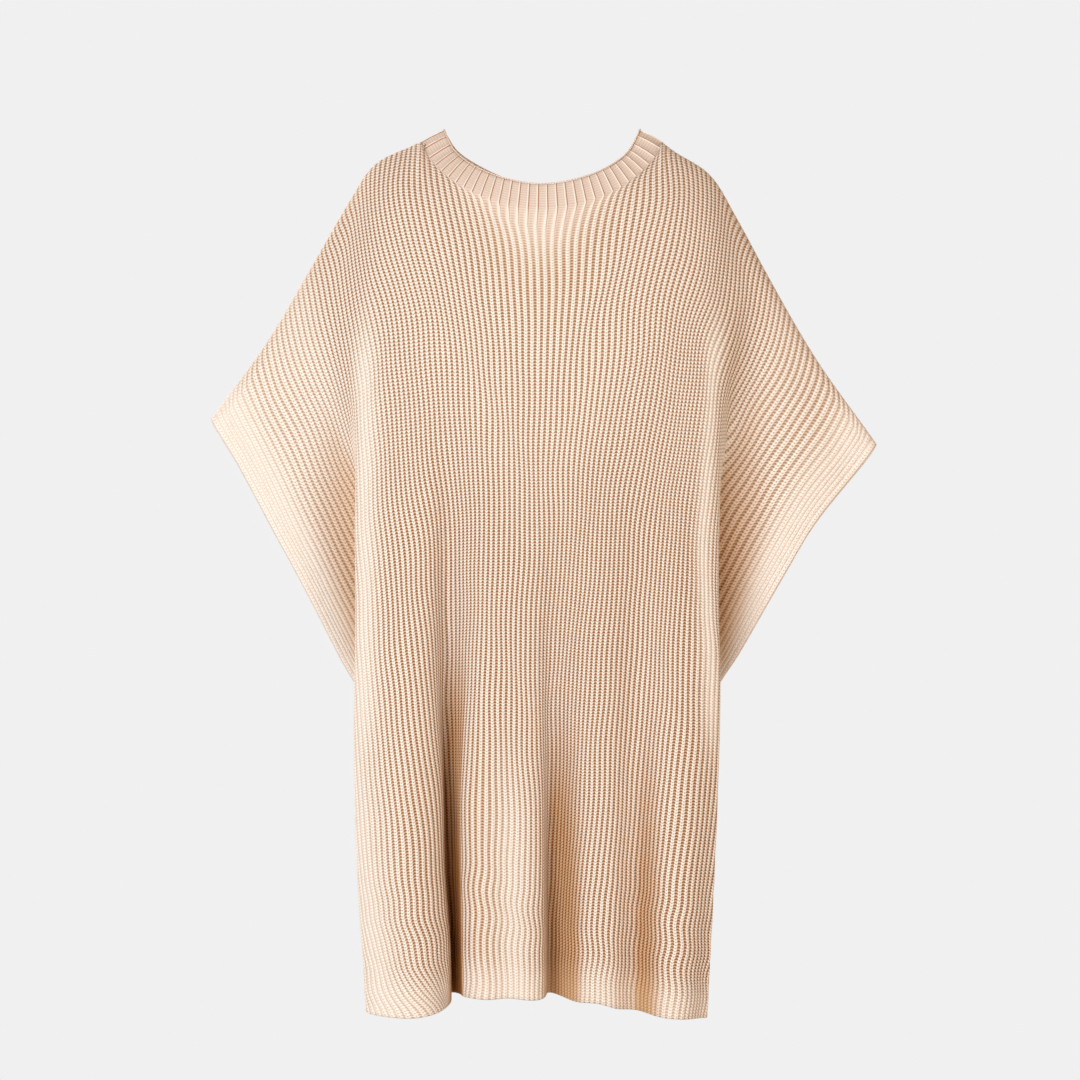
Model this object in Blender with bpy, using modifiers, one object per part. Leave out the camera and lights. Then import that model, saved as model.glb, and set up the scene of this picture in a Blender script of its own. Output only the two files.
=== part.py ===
"""Batwing poncho sweater in chunky rib knit, hollow as it is when worn.

Two wide panels, front and back, are knitted with their half-sleeves in one piece, so every rib runs unbroken
from the neck or shoulder seam down to the hem. They are sewn together along the sloping shoulders and, below
the open sleeve edges, down the sides. A narrow rib band in two halves finishes the neck.

Frame: +Z is up, the front faces -Y and +X is the wearer's left. The origin lies on the shoulder line, midway
between the two high points of the neck, where the wearer's shoulders hold the garment up.
"""

from collections import namedtuple

import bpy
import numpy as np

MM = 0.001

# ---------------------------------------------------------------- driving sizes, in millimetres
WALL = 3.0                  # thickness of the knit
SEAM_GAP = 0.3              # clearance between two pieces that are sewn together
CORNER_GAP = 0.8            # the same where four pieces meet at the neck's corner
ARMHOLE_GAP = 1.0           # the same at the foot of the sleeve opening, where the side seam starts
SEAM_STRIP = 3.0            # first strip beside a seam, square to it
RIB_PITCH = 6.5             # from one rib to the next
RIB_LENGTH = 800.0          # from the neck seam to the hem
RIBS = 64                   # ribs in each half of a panel
NECK_RIB = 16               # rib at the high point of the shoulder
ARMHOLE = 0.53              # part of the outermost rib that is open sleeve edge
BACK_DEPTH = 0.80           # depth of the back against that of the front
BACK_SIDE = 20.0            # ribs beside each edge of the back over which it comes to that depth
BACK_NECK_FADE = 6          # power by which the back neck's own height fades down the back
SLEEVE_LEAN = 13.0          # the wearer's left sleeve corner hangs lower than the right by twice this
LEFT_REACH = 4.0            # the wearer's left sleeve corner stands out this much further than the right
ARMHOLE_LEAN = 6.0          # the left armhole ends higher than the right by twice this
HEM_TILT = 6.0              # the hem runs down towards the wearer's left by twice this
SHOULDER_FULLNESS = 1.25    # how far the cloth runs on level over the shoulder before it turns down
SIDE_FULLNESS = 1.3         # the same round the side seam
NECK_CORNER = 2.0           # ribs over which the neck seam's lie turns into the shoulder's
SWAY = 8.0                  # the body hangs this far to the wearer's right of the neck
SWAY_FULL = 0.9             # part of the way down at which it has swayed that far
SIDE_STAY = 0.4             # part of the sway that the sides don't follow
SHOULDER_END = 0.2          # part of the way down over which the shoulders' lean dies out
LEAN_SPREAD = 0.6           # power by which the lean grows from the neck to the sleeve corner
EVEN_FROM = 0.26            # part of the way down from which the ribs are evenly spread

NECK_COLUMNS = 14           # mesh strips across the neck
SLEEVE_COLUMNS = 16         # mesh strips from the neck to each side
PANEL_ROWS = 22             # mesh strips down a panel
BAND_ROWS = 2               # mesh strips across the neckband

CREAM = (0.80, 0.62, 0.49, 1.0)
CREAM_BAND = (0.78, 0.60, 0.47, 1.0)

# The neck and shoulder seam of the front, from the middle out: rib, then x, y and z.
NECK_SEAM = (
    (0.0, (0, -90, -92)),
    (4.1, (40, -86, -86)),
    (8.7, (81, -67, -66)),
    (12.7, (109, -38, -38)),
)
SHOULDER_SEAM = (
    (16.0, (123, 0, -9)),
    (21.5, (153, 0, -24)),
    (27.0, (182, 0, -49)),
    (31.5, (203, 0, -84)),
    (40.5, (236, 0, -143)),
    (52.5, (289, 0, -235)),
    (64.0, (347, 0, -317)),
)
# The same neck seam on the back.
BACK_NECK_SEAM = (
    (0.0, (0, 74, -72)),
    (4.1, (40, 71, -67)),
    (8.7, (81, 56, -52)),
    (12.7, (109, 33, -31)),
)
# The neckline, which is the free edge of the band, for the front and the back.
FRONT_NECKLINE = (
    (0.0, (0, -76, -68)),
    (4.1, (36, -71, -62)),
    (8.7, (70, -54, -46)),
    (12.7, (92, -29, -25)),
    (16.0, (103, 0, 0)),
)
BACK_NECKLINE = (
    (0.0, (0, 60, -50)),
    (4.1, (36, 56, -45)),
    (8.7, (70, 43, -34)),
    (12.7, (92, 23, -18)),
    (16.0, (103, 0, 0)),
)

# The worn form of a half panel below its seam. Each row is a section at a part of the way down every rib,
# and each column is the x, y and z of one rib there: the middle, beside the neck, the shoulder's end, the
# fold where the body's front turns back, the hollow under the arm and the outer edge.
FORM_RIBS = (0, 13, 24.5, 36, 48.5, RIBS)
Section = namedtuple("Section", "down middle neck shoulder turn hollow edge")
FORM = (
    Section(0.07, (0, -106, -146), (107, -68, -76), (169, -46, -72),
            (207, -42, -152), (260, -30, -248), (320, -12, -357)),
    Section(0.15, (0, -121, -212), (97, -99, -142), (160, -82, -150),
            (192, -72, -224), (226, -40, -304), (289, -24, -404)),
    Section(0.26, (0, -129, -299), (81, -120, -236), (138, -107, -246),
            (185, -88, -310), (194, -38, -380), (251, -34, -468)),
    Section(0.40, (0, -129, -411), (63, -127, -356), (116, -118, -362),
            (185, -93, -412), (164, -34, -480), (208, -28, -548)),
    Section(0.53, (0, -127, -515), (60, -126, -468), (116, -118, -472),
            (184, -94, -515), (146, -32, -572), (169, 0, -628)),
    Section(0.68, (0, -126, -635), (60, -125, -596), (117, -118, -600),
            (184, -94, -636), (144, -32, -680), (174, 0, -720)),
    Section(0.84, (0, -124, -762), (60, -125, -736), (117, -119, -740),
            (180, -92, -764), (144, -32, -790), (174, 0, -812)),
    Section(1.00, (0, -120, -903), (60, -124, -903), (115, -120, -906),
            (173, -88, -911), (144, -32, -906), (166, 0, -904)),
)

# The drape folds that run down the ribs: the place of the bottom of the fold, where it starts, the half
# widths of its wearer's right and left walls in ribs, its depth at the hem, which is below 0 for a crest,
# how far its right and left walls hang over it, and how far it lifts the hem.
Fold = namedtuple("Fold", "rib start right_wall left_wall depth right_over left_over lift")
FRONT_FOLDS = (
    Fold(-27.5, 0.45, 6.5, 5.5, -12.0, 0.0, 0.0, -2.0),
    Fold(-19.6, 0.26, 3.8, 6.0, 74.0, 12.0, 0.0, 8.0),
    Fold(-13.0, 0.40, 3.6, 4.0, -4.0, 0.0, 0.0, 6.0),
    Fold(-5.3, 0.34, 6.5, 6.5, 20.0, 0.0, 0.0, 11.0),
    Fold(3.6, 0.36, 3.6, 6.0, 54.0, 9.0, 0.0, 9.0),
    Fold(13.3, 0.48, 4.8, 4.2, 12.0, 0.0, 0.0, 8.0),
    Fold(21.3, 0.38, 4.8, 4.2, 34.0, 2.0, 0.0, 2.0),
    Fold(29.8, 0.50, 4.2, 4.2, -9.0, 0.0, 0.0, 2.0),
    Fold(34.0, 0.50, 2.6, 2.6, 8.0, 0.0, 0.0, 0.0),
)
BACK_FOLDS = (
    Fold(-26.5, 0.36, 4.8, 5.4, 46.0, 5.0, 1.0, 4.0),
    Fold(-11.0, 0.22, 6.0, 7.2, 84.0, 9.0, 3.0, 10.0),
    Fold(3.5, 0.54, 4.4, 4.4, 20.0, 0.0, 0.0, 4.0),
    Fold(15.5, 0.30, 6.6, 5.4, 68.0, 3.0, 9.0, 8.0),
    Fold(30.5, 0.46, 4.6, 4.0, 34.0, 2.0, 4.0, 3.0),
)
FOLD_FULL = 1.05            # part of the way down at which a fold would reach its depth, just past the hem
FOLD_POWER = 0.8            # power of its growth: below 1 it deepens early
WALL_REACH = 0.6            # part of a fold's half width over which its wall hangs over
LIFT_FROM = 0.6             # part of the way down from which a fold lifts the knit
# Where the body's front turns back beside the left sleeve, the turn starts higher up than on the right.
LEFT_TURN = Fold(41.0, 0.03, 5.0, 5.0, 14.0, 4.0, 6.0, 0.0)
LEFT_TURN_FULL = 0.12       # part of the way down over which it deepens
LEFT_TURN_END = 0.42        # where the turn of the common form has taken over
LEFT_TURN_FADE = 0.20
# The crest beside the deep front fold swings towards the wearer's left just above the hem.
Swing = namedtuple("Swing", "rib reach start full side")
CREST_SWING = Swing(-27.5, 7.0, 0.86, 0.10, 9.0)


# ---------------------------------------------------------------- smooth curves through named points
def slopes(keys, values):
    """Return the slope at each key of a smooth curve through the values, by central differences."""
    steps = np.diff(keys)[:, None]
    rises = np.diff(values, axis=0) / steps
    inner = (rises[:-1] * steps[1:] + rises[1:] * steps[:-1]) / (steps[1:] + steps[:-1])
    return np.vstack([rises[:1], inner, rises[-1:]])


def smooth(keys, values, at, tangents=None):
    """Evaluate the cubic curve through values[key] at the given places. Tangents may be handed in."""
    keys = np.asarray(keys, float)
    values = np.asarray(values, float)
    tangents = slopes(keys, values) if tangents is None else tangents
    at = np.atleast_1d(np.asarray(at, float))
    low = np.clip(np.searchsorted(keys, at, side="right") - 1, 0, len(keys) - 2)
    span = keys[low + 1] - keys[low]
    u = ((at - keys[low]) / span)[:, None]
    span = span[:, None]
    return (values[low] * (2 * u**3 - 3 * u**2 + 1) + values[low + 1] * (3 * u**2 - 2 * u**3)
            + tangents[low] * span * (u**3 - 2 * u**2 + u) + tangents[low + 1] * span * (u**3 - u**2))


def ease(value):
    """Return 0 below 0, 1 above 1, and a smooth rise between."""
    value = np.clip(value, 0.0, 1.0)
    return value * value * (3.0 - 2.0 * value)


def both_sides(table):
    """Mirror a half table of (rib, point) rows over the middle. Return the ribs and the points."""
    ribs = np.array([row[0] for row in table], float)
    points = np.array([row[1] for row in table], float)
    mirrored = points[1:] * (-1, 1, 1)
    return np.concatenate([-ribs[:0:-1], ribs]), np.vstack([mirrored[::-1], points])


# ---------------------------------------------------------------- the form of a panel
def neck_line(table, ribs):
    """Return a line round half the neck. It crosses the shoulder seam squarely at both ends."""
    keys, points = both_sides(table)
    tangents = slopes(keys, points)
    reach = np.linalg.norm(points[-1] - points[-2]) / (keys[-1] - keys[-2])
    back = np.sign(points[-1, 1] - points[-2, 1]) * reach
    tangents[-1] = (0.0, back, 0.0)
    tangents[0] = (0.0, -back, 0.0)
    return smooth(keys, points, ribs, tangents)


def top_edge(neck_table, ribs):
    """Return the panel's top edge: the neck seam between the high shoulder points, and the shoulder seams."""
    keys, points = both_sides(SHOULDER_SEAM)
    edge = smooth(keys, points, ribs)
    neck = np.abs(ribs) <= NECK_RIB
    edge[neck] = neck_line(neck_table + SHOULDER_SEAM[:1], ribs[neck])
    return edge


def front_section(section, ribs):
    """Return one section of the front's worn form. Below the armhole its ends meet the side seam squarely."""
    half = tuple(zip(FORM_RIBS, section[1:]))
    keys, points = both_sides(half)
    tangents = slopes(keys, points)
    if section.down >= ARMHOLE:
        reach = SIDE_FULLNESS * np.linalg.norm(points[-1] - points[-2]) / (keys[-1] - keys[-2])
        tangents[-1] = (0.0, reach, 0.0)
        tangents[0] = (0.0, -reach, 0.0)
    return smooth(keys, points, ribs, tangents)


def worn_form(ribs, downs):
    """Return the front's smooth worn form as a grid of points, [down, rib], before its folds."""
    rows = np.array([top_edge(NECK_SEAM, ribs)] + [front_section(section, ribs) for section in FORM])
    keys = np.array([0.0] + [section.down for section in FORM])
    flat = rows.reshape(len(keys), -1)
    tangents = slopes(keys, flat).reshape(rows.shape)
    # Over the shoulder the cloth leaves the seam level, towards the front.
    over = ease((np.abs(ribs) - NECK_RIB) / NECK_CORNER + 1.0)[:, None]
    reach = SHOULDER_FULLNESS * np.linalg.norm(rows[1] - rows[0], axis=1, keepdims=True) / keys[1]
    tangents[0] = tangents[0] * (1 - over) + over * reach * (0.0, -1.0, 0.0)
    grid = smooth(keys, flat, downs, tangents.reshape(len(keys), -1))
    return grid.reshape(len(downs), len(ribs), 3)


def hang(grid, ribs, downs):
    """Shift the form for the way it hangs: sleeves, armholes and hem differ a little from side to side."""
    side = ribs / RIBS
    down = downs[:, None]
    outward = np.clip((np.abs(ribs) - NECK_RIB) / (RIBS - NECK_RIB), 0.0, 1.0)
    shoulder = ease(1 - down / SHOULDER_END)
    grid[..., 2] -= SLEEVE_LEAN * np.sign(ribs) * outward**LEAN_SPREAD * shoulder
    grid[..., 0] += LEFT_REACH * (ribs > 0) * ease(2 * outward - 1) * shoulder
    grid[..., 2] += ARMHOLE_LEAN * side * np.exp(-(((down - ARMHOLE) / SHOULDER_END) ** 2))
    grid[..., 2] -= HEM_TILT * side * down**2
    grid[..., 0] -= SWAY * ease(down / SWAY_FULL) * (1 - SIDE_STAY * np.abs(side))
    return grid


def trough(fold, ribs):
    """Return a fold's rounded cross-section, 1 at its bottom, with a steepness for each wall."""
    wall = np.where(ribs < fold.rib, fold.right_wall, fold.left_wall)
    return np.exp(-(((ribs - fold.rib) / wall) ** 2))


def press(grid, fold, growth, inward, ribs, downs):
    """Press one drape fold into the form along its rib, with walls that may hang over it."""
    shape = trough(fold, ribs)
    right = np.exp(-(((ribs - fold.rib) / fold.right_wall + 1.0) / WALL_REACH) ** 2)
    left = np.exp(-(((ribs - fold.rib) / fold.left_wall - 1.0) / WALL_REACH) ** 2)
    grid[..., 1] += inward * fold.depth * growth * shape
    grid[..., 0] += growth * (fold.right_over * right - fold.left_over * left)
    grid[..., 2] += fold.lift * shape * ease((downs[:, None] - LIFT_FROM) / (1.0 - LIFT_FROM))
    return grid


def add_folds(grid, folds, inward, ribs, downs):
    """Press the drape folds into a panel. Each starts at its own height and deepens towards the hem."""
    for fold in folds:
        growth = ease((downs[:, None] - fold.start) / (FOLD_FULL - fold.start)) ** FOLD_POWER
        press(grid, fold, growth, inward, ribs, downs)
    return grid


def band_rails(front, ribs):
    """Return the neckband's two edges: the neck seam and the free neckline."""
    seam = top_edge(NECK_SEAM if front else BACK_NECK_SEAM, ribs)
    free = neck_line(FRONT_NECKLINE if front else BACK_NECKLINE, ribs)
    return seam, free


def band_direction(front, ribs):
    """Return the unit directions in which the neckband rises from the neck seam."""
    seam, free = band_rails(front, ribs)
    across = free - seam
    return across / np.linalg.norm(across, axis=1, keepdims=True)


def spread(grid, ribs, downs):
    """Share the ribs out evenly below the chest, each half for itself, by the distance square to them."""
    share = ease(downs / EVEN_FROM)
    along = np.gradient(grid, downs, axis=0)
    along /= np.linalg.norm(along, axis=2, keepdims=True)
    middle = len(ribs) // 2
    for row, direction, even in zip(grid, along, share):
        step = np.linalg.norm(np.cross(np.diff(row, axis=0), direction[:-1]), axis=1)
        length = np.concatenate([[0.0], np.cumsum(step)])
        length -= length[middle]
        place = np.where(length < 0, length / -length[0], length / length[-1]) * RIBS
        knitted = even * place + (1 - even) * ribs
        row[:] = np.stack([np.interp(ribs, knitted, row[:, axis]) for axis in range(3)], axis=1)
    return grid


def panel_grid(front, ribs, downs):
    """Return a panel's outer surface as a grid of points in millimetres, [down, rib]."""
    fine = np.linspace(-RIBS, RIBS, 8 * RIBS + 1)
    down = downs[:, None]
    grid = hang(worn_form(fine, downs), fine, downs)
    if front:
        toward = -1.0
        early = ease((down - LEFT_TURN.start) / LEFT_TURN_FULL)
        early = early * ease((LEFT_TURN_END - down) / LEFT_TURN_FADE)
        grid = press(grid, LEFT_TURN, early, 1.0, fine, downs)
        grid = add_folds(grid, FRONT_FOLDS, 1.0, fine, downs)
        crest = np.exp(-(((fine - CREST_SWING.rib) / CREST_SWING.reach) ** 2))
        grid[..., 0] += CREST_SWING.side * crest * ease((down - CREST_SWING.start) / CREST_SWING.full)
    else:
        toward = 1.0
        flatten = 1.0 - (1.0 - BACK_DEPTH) * ease((RIBS - np.abs(fine)) / BACK_SIDE)
        below = ease(down / FORM[0].down)
        grid[..., 1] *= -flatten * below - (1 - below)
        shift = top_edge(BACK_NECK_SEAM, fine) - top_edge(NECK_SEAM, fine) * (1, -1, 1)
        grid += shift * ((1 - down) ** BACK_NECK_FADE)[..., None]
        grid = add_folds(grid, BACK_FOLDS, -1.0, fine, downs)
    grid = spread(grid, fine, downs)
    flat = grid.transpose(1, 0, 2).reshape(len(fine), -1)
    grid = smooth(fine, flat, ribs).reshape(len(ribs), len(downs), 3).transpose(1, 0, 2)
    seam = top_edge(NECK_SEAM if front else BACK_NECK_SEAM, ribs)
    grid[0] = hang(seam[None], ribs, downs[:1])[0]
    neck = ribs[np.abs(ribs) < NECK_RIB]
    return square_seams(grid, toward, band_direction(front, neck), ribs, downs)


def square_seams(grid, toward, seam_direction, ribs, downs):
    """Set the first strip beside every seam square to it, and leave the seam's clearance there."""
    strip = toward * SEAM_STRIP * np.array([0.0, 1.0, 0.0])
    clearance = toward * SEAM_GAP / 2
    shoulder = np.abs(ribs) >= NECK_RIB
    grid[0, shoulder, 1] = clearance
    grid[1, shoulder] = grid[0, shoulder] + strip
    grid[0, np.abs(ribs) == NECK_RIB, 1] = toward * CORNER_GAP
    neck = ~shoulder
    grid[1, neck] = grid[0, neck] - seam_direction * SEAM_STRIP
    side = downs >= ARMHOLE
    for end, beside in ((0, 1), (-1, -2)):
        grid[side, end, 1] = clearance
        grid[side, beside] = grid[side, end] + strip
        grid[downs == ARMHOLE, end, 1] = toward * ARMHOLE_GAP / 2
    return grid


def panel_places():
    """Return the ribs and the parts of the way down at which a panel's mesh has its points."""
    strip = SEAM_STRIP / RIB_PITCH
    neck = np.linspace(-NECK_RIB, NECK_RIB, NECK_COLUMNS + 1)
    sleeve = np.linspace(NECK_RIB, RIBS, SLEEVE_COLUMNS + 1)[1:]
    outer = np.append(sleeve[:-1], (RIBS - strip, RIBS))
    ribs = np.concatenate([-outer[::-1], neck, outer])
    downs = np.concatenate([[0.0, SEAM_STRIP / RIB_LENGTH], np.linspace(0.0, 1.0, PANEL_ROWS)[1:]])
    downs[np.argmin(np.abs(downs - ARMHOLE))] = ARMHOLE
    return ribs, downs


# ---------------------------------------------------------------- meshes
def material(name, colour, roughness):
    """Return a Principled material for a piece."""
    made = bpy.data.materials.new(name)
    made.use_nodes = True
    shader = made.node_tree.nodes["Principled BSDF"]
    shader.inputs["Base Color"].default_value = colour
    shader.inputs["Roughness"].default_value = roughness
    shader.inputs["Metallic"].default_value = 0.0
    return made


def cloth(name, grid, outward, colour, collection):
    """Make a cloth wall: an open surface over the grid, given its thickness on the inner side."""
    rows, columns = grid.shape[:2]
    index = np.arange(rows * columns).reshape(rows, columns)
    corners = np.stack([index[:-1, :-1], index[1:, :-1], index[1:, 1:], index[:-1, 1:]], axis=-1)
    corners = corners.reshape(-1, 4)
    if not outward:
        corners = corners[:, ::-1]
    mesh = bpy.data.meshes.new(name)
    mesh.from_pydata((grid.reshape(-1, 3) * MM).tolist(), [], corners.tolist())
    mesh.materials.append(material(name + "_knit", colour, 0.9))
    mesh.shade_smooth()
    piece = bpy.data.objects.new(name, mesh)
    collection.objects.link(piece)
    wall = piece.modifiers.new("wall", "SOLIDIFY")
    wall.thickness = WALL * MM
    wall.offset = -1.0
    return piece


def make_panel(name, front, collection):
    """Make the front or the back panel."""
    ribs, downs = panel_places()
    grid = panel_grid(front, ribs, downs)
    return cloth(name, grid, front, CREAM, collection)


def make_band(name, front, collection):
    """Make half of the neckband, between the panel's neck seam and the free neckline."""
    neck = np.linspace(-NECK_RIB, NECK_RIB, NECK_COLUMNS + 1)
    ribs = np.concatenate([neck[:1], neck[:1], neck[1:-1], neck[-1:], neck[-1:]])
    seam, free = band_rails(front, ribs)
    across = free - seam
    width = np.linalg.norm(across, axis=1, keepdims=True)
    starts = np.full_like(width, SEAM_GAP)
    starts[[0, 1, -2, -1]] = CORNER_GAP
    parts = [starts / width] + [np.full_like(width, row / BAND_ROWS) for row in range(1, BAND_ROWS + 1)]
    grid = np.array([seam + across * part for part in reversed(parts)])
    toward = -1.0 if front else 1.0
    grid[:, (0, -1), 1] = toward * SEAM_GAP / 2
    grid[:, (1, -2), 1] = toward * (SEAM_GAP / 2 + SEAM_STRIP)
    return cloth(name, grid, front, CREAM_BAND, collection)


def main():
    """Clear the scene and make the sweater's four pieces."""
    for thing in list(bpy.data.objects):
        bpy.data.objects.remove(thing)
    collection = bpy.data.collections.new("batwing_sweater")
    bpy.context.scene.collection.children.link(collection)
    make_panel("front_panel", True, collection)
    make_panel("back_panel", False, collection)
    make_band("neck_band_front", True, collection)
    make_band("neck_band_back", False, collection)


main()
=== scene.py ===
"""Looks of a long batwing poncho sweater in chunky rib knit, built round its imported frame.

The garment hangs hollow in its worn shape. Two wide panels are knitted with their half-sleeves in one
piece, so every rib runs unbroken from the neck or shoulder seam down to the hem. They are linked along the
shoulders and, below the open sleeve edges, down the sides. A narrow band with widely spaced ridges finishes
the neck.

Frame: +Z is up, the front faces -Y and +X is the wearer's left. The origin lies on the shoulder line,
midway between the two high points of the neck. Sizes below are in millimetres unless they say otherwise.
"""

from __future__ import annotations

import logging
import math
from dataclasses import dataclass, field
from enum import Enum

import bpy
import numpy as np
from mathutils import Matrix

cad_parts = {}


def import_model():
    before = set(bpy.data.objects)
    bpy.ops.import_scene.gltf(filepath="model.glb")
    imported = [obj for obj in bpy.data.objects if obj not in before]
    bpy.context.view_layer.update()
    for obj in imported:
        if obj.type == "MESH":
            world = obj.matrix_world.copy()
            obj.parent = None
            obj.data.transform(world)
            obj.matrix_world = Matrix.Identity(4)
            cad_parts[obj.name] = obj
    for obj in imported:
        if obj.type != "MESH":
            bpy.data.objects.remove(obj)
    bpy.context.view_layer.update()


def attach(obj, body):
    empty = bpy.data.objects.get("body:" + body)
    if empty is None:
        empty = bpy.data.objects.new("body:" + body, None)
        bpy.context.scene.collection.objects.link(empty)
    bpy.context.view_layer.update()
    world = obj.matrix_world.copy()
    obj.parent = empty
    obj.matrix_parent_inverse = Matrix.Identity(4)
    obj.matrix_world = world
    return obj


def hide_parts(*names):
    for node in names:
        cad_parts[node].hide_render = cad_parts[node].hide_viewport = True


LOG = logging.getLogger("sweater")
MM = 0.001
BODY = "root"
KNIT_UV = "knit"
SHARP = math.radians(72)    # an edge that bends more than this isn't rounded off

Point = tuple[float, float, float]
Range = tuple[float, float]

# ---------------------------------------------------------------- the cut and the hang, as in the frame
WALL = 3.0                  # thickness of the knit
SEAM_GAP = 0.3              # clearance between two pieces that are sewn together
SEAM_STRIP = 3.0            # first strip beside a seam, square to it
RIB_LENGTH = 800.0          # from the neck seam to the hem
RIBS = 64                   # ribs in each half of a panel
INNER_STEP = 3              # the wall's inner face has one column of points to this many of its outer
WAVES = 8                   # plane waves in a ripple
NECK_RIB = 16               # rib at the high point of the shoulder
ARMHOLE = 0.53              # part of the outermost rib that is open sleeve edge
BACK_DEPTH = 0.80           # depth of the back against that of the front
BACK_SIDE = 20.0            # ribs beside each edge of the back over which it comes to that depth
BACK_NECK_FADE = 6          # power by which the back neck's own height fades down the back
BACK_BAND_RISE = 4.0        # the back band shows over the front on the wearer's right
BACK_RISE_RIB = -8.5        # rib at which it shows most
BACK_RISE_REACH = 4.0       # ribs over which it does
SHOULDER_DIP = 5.0          # the cloth hangs between the high point and the top of the arm
DIP_RIB = 19.0              # rib at which it hangs lowest
DIP_REACH = 4.5             # ribs over which it does
NECK_FLARE = 2.5            # ribs beside the high point that stand out by half of the dip
SLEEVE_LEAN = 13.0          # the wearer's left sleeve corner hangs lower than the right by twice this
LEFT_REACH = 4.0            # the wearer's left sleeve corner stands out this much further than the right
ARMHOLE_LEAN = 6.0          # the left armhole ends higher than the right by twice this
HEM_TILT = 6.0              # the hem runs down towards the wearer's left by twice this
SHOULDER_FULLNESS = 1.25    # how far the cloth runs on level over the shoulder before it turns down
SIDE_FULLNESS = 1.3         # the same round the side seam
NECK_CORNER = 2.0           # ribs over which the neck seam's lie turns into the shoulder's
SWAY = 8.0                  # the body hangs this far to the wearer's right of the neck
SWAY_FULL = 0.9             # part of the way down at which it has swayed that far
SIDE_STAY = 0.4             # part of the sway that the sides don't follow
SHOULDER_END = 0.2          # part of the way down over which the shoulders' lean dies out
LEAN_SPREAD = 0.6           # power by which the lean grows from the neck to the sleeve corner
EVEN_FROM = 0.26            # part of the way down from which the ribs are evenly spread

FORM_RIBS = (0, 13, 24.5, 36, 48.5, RIBS)
NECK_SEAM = (
    (0.0, (0, -90, -92)),
    (4.1, (40, -86, -86)),
    (8.7, (81, -67, -66)),
    (12.7, (109, -38, -38)),
)
SHOULDER_SEAM = (
    (16.0, (123, 0, -9)),
    (21.5, (153, 0, -24)),
    (27.0, (182, 0, -49)),
    (31.5, (203, 0, -84)),
    (40.5, (236, 0, -143)),
    (52.5, (289, 0, -235)),
    (64.0, (347, 0, -317)),
)
BACK_NECK_SEAM = (
    (0.0, (0, 74, -72)),
    (4.1, (40, 71, -67)),
    (8.7, (81, 56, -52)),
    (12.7, (109, 33, -31)),
)
FRONT_NECKLINE = (
    (0.0, (0, -76, -68)),
    (4.1, (36, -71, -62)),
    (8.7, (70, -54, -46)),
    (12.7, (92, -29, -25)),
    (16.0, (103, 0, 0)),
)
BACK_NECKLINE = (
    (0.0, (0, 60, -50)),
    (4.1, (36, 56, -45)),
    (8.7, (70, 43, -34)),
    (12.7, (92, 23, -18)),
    (16.0, (103, 0, 0)),
)

FOLD_FULL = 1.05            # part of the way down at which a fold would be full, just past the hem
FOLD_POWER = 0.8            # power of its growth: below 1 it deepens early
WALL_REACH = 0.6            # part of a fold's half width over which its wall hangs over
LIFT_FROM = 0.6             # part of the way down from which a fold lifts the knit
LEFT_TURN_FULL = 0.12       # part of the way down over which the left turn deepens
LEFT_TURN_END = 0.42        # where the turn of the common form has taken over
LEFT_TURN_FADE = 0.20       # part of the way down over which it does


class Side(Enum):
    """The two faces of the garment, with the direction in y that each one faces."""

    FRONT = -1.0
    BACK = 1.0

    @property
    def hand(self) -> float:
        """Return the sign that turns the cross product of down and across outwards."""
        return -self.value

    @property
    def word(self) -> str:
        """Return the side's word in the names of the pieces."""
        return self.name.lower()


@dataclass(frozen=True)
class Section:
    """One section of the worn form of a half panel: where six of its ribs lie at one height."""

    down: float                     # its part of the way down
    middle: Point
    neck: Point
    shoulder: Point
    turn: Point
    hollow: Point
    edge: Point

    def points(self) -> tuple[Point, ...]:
        """Return the six points from the middle out."""
        return (self.middle, self.neck, self.shoulder, self.turn, self.hollow, self.edge)


@dataclass(frozen=True)
class Fold:
    """A drape fold that runs down the ribs: its place, where it starts and the shape of its two walls."""

    rib: float
    start: float                    # part of the way down at which it sets in
    right_wall: float               # ribs over which each wall falls off
    left_wall: float
    depth: float
    right_over: float = 0.0         # how far each wall hangs over the fold
    left_over: float = 0.0
    lift: float = 0.0               # how far it lifts the hem


@dataclass(frozen=True)
class Swing:
    """A sideways swing of one crest just above the hem."""

    rib: float
    reach: float                    # ribs over which it falls off
    start: float                    # part of the way down at which it sets in
    full: float                     # part of the way down over which it grows
    side: float                     # how far it swings to the wearer's left


FORM = (
    Section(0.07, (0, -106, -146), (107, -68, -76), (169, -46, -72),
            (207, -42, -152), (260, -30, -248), (320, -12, -357)),
    Section(0.15, (0, -121, -212), (97, -99, -142), (160, -82, -150),
            (192, -72, -224), (226, -40, -304), (289, -24, -404)),
    Section(0.26, (0, -129, -299), (81, -120, -236), (138, -107, -246),
            (185, -88, -310), (194, -38, -380), (251, -34, -468)),
    Section(0.40, (0, -129, -411), (63, -127, -356), (116, -118, -362),
            (185, -93, -412), (164, -34, -480), (208, -28, -548)),
    Section(0.53, (0, -127, -515), (60, -126, -468), (116, -118, -472),
            (184, -94, -515), (146, -32, -572), (169, 0, -628)),
    Section(0.68, (0, -126, -635), (60, -125, -596), (117, -118, -600),
            (184, -94, -636), (144, -32, -680), (174, 0, -720)),
    Section(0.84, (0, -124, -762), (60, -125, -736), (117, -119, -740),
            (180, -92, -764), (144, -32, -790), (174, 0, -812)),
    Section(1.00, (0, -120, -903), (60, -124, -903), (115, -120, -906),
            (173, -88, -911), (144, -32, -906), (166, 0, -904)),
)
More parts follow.
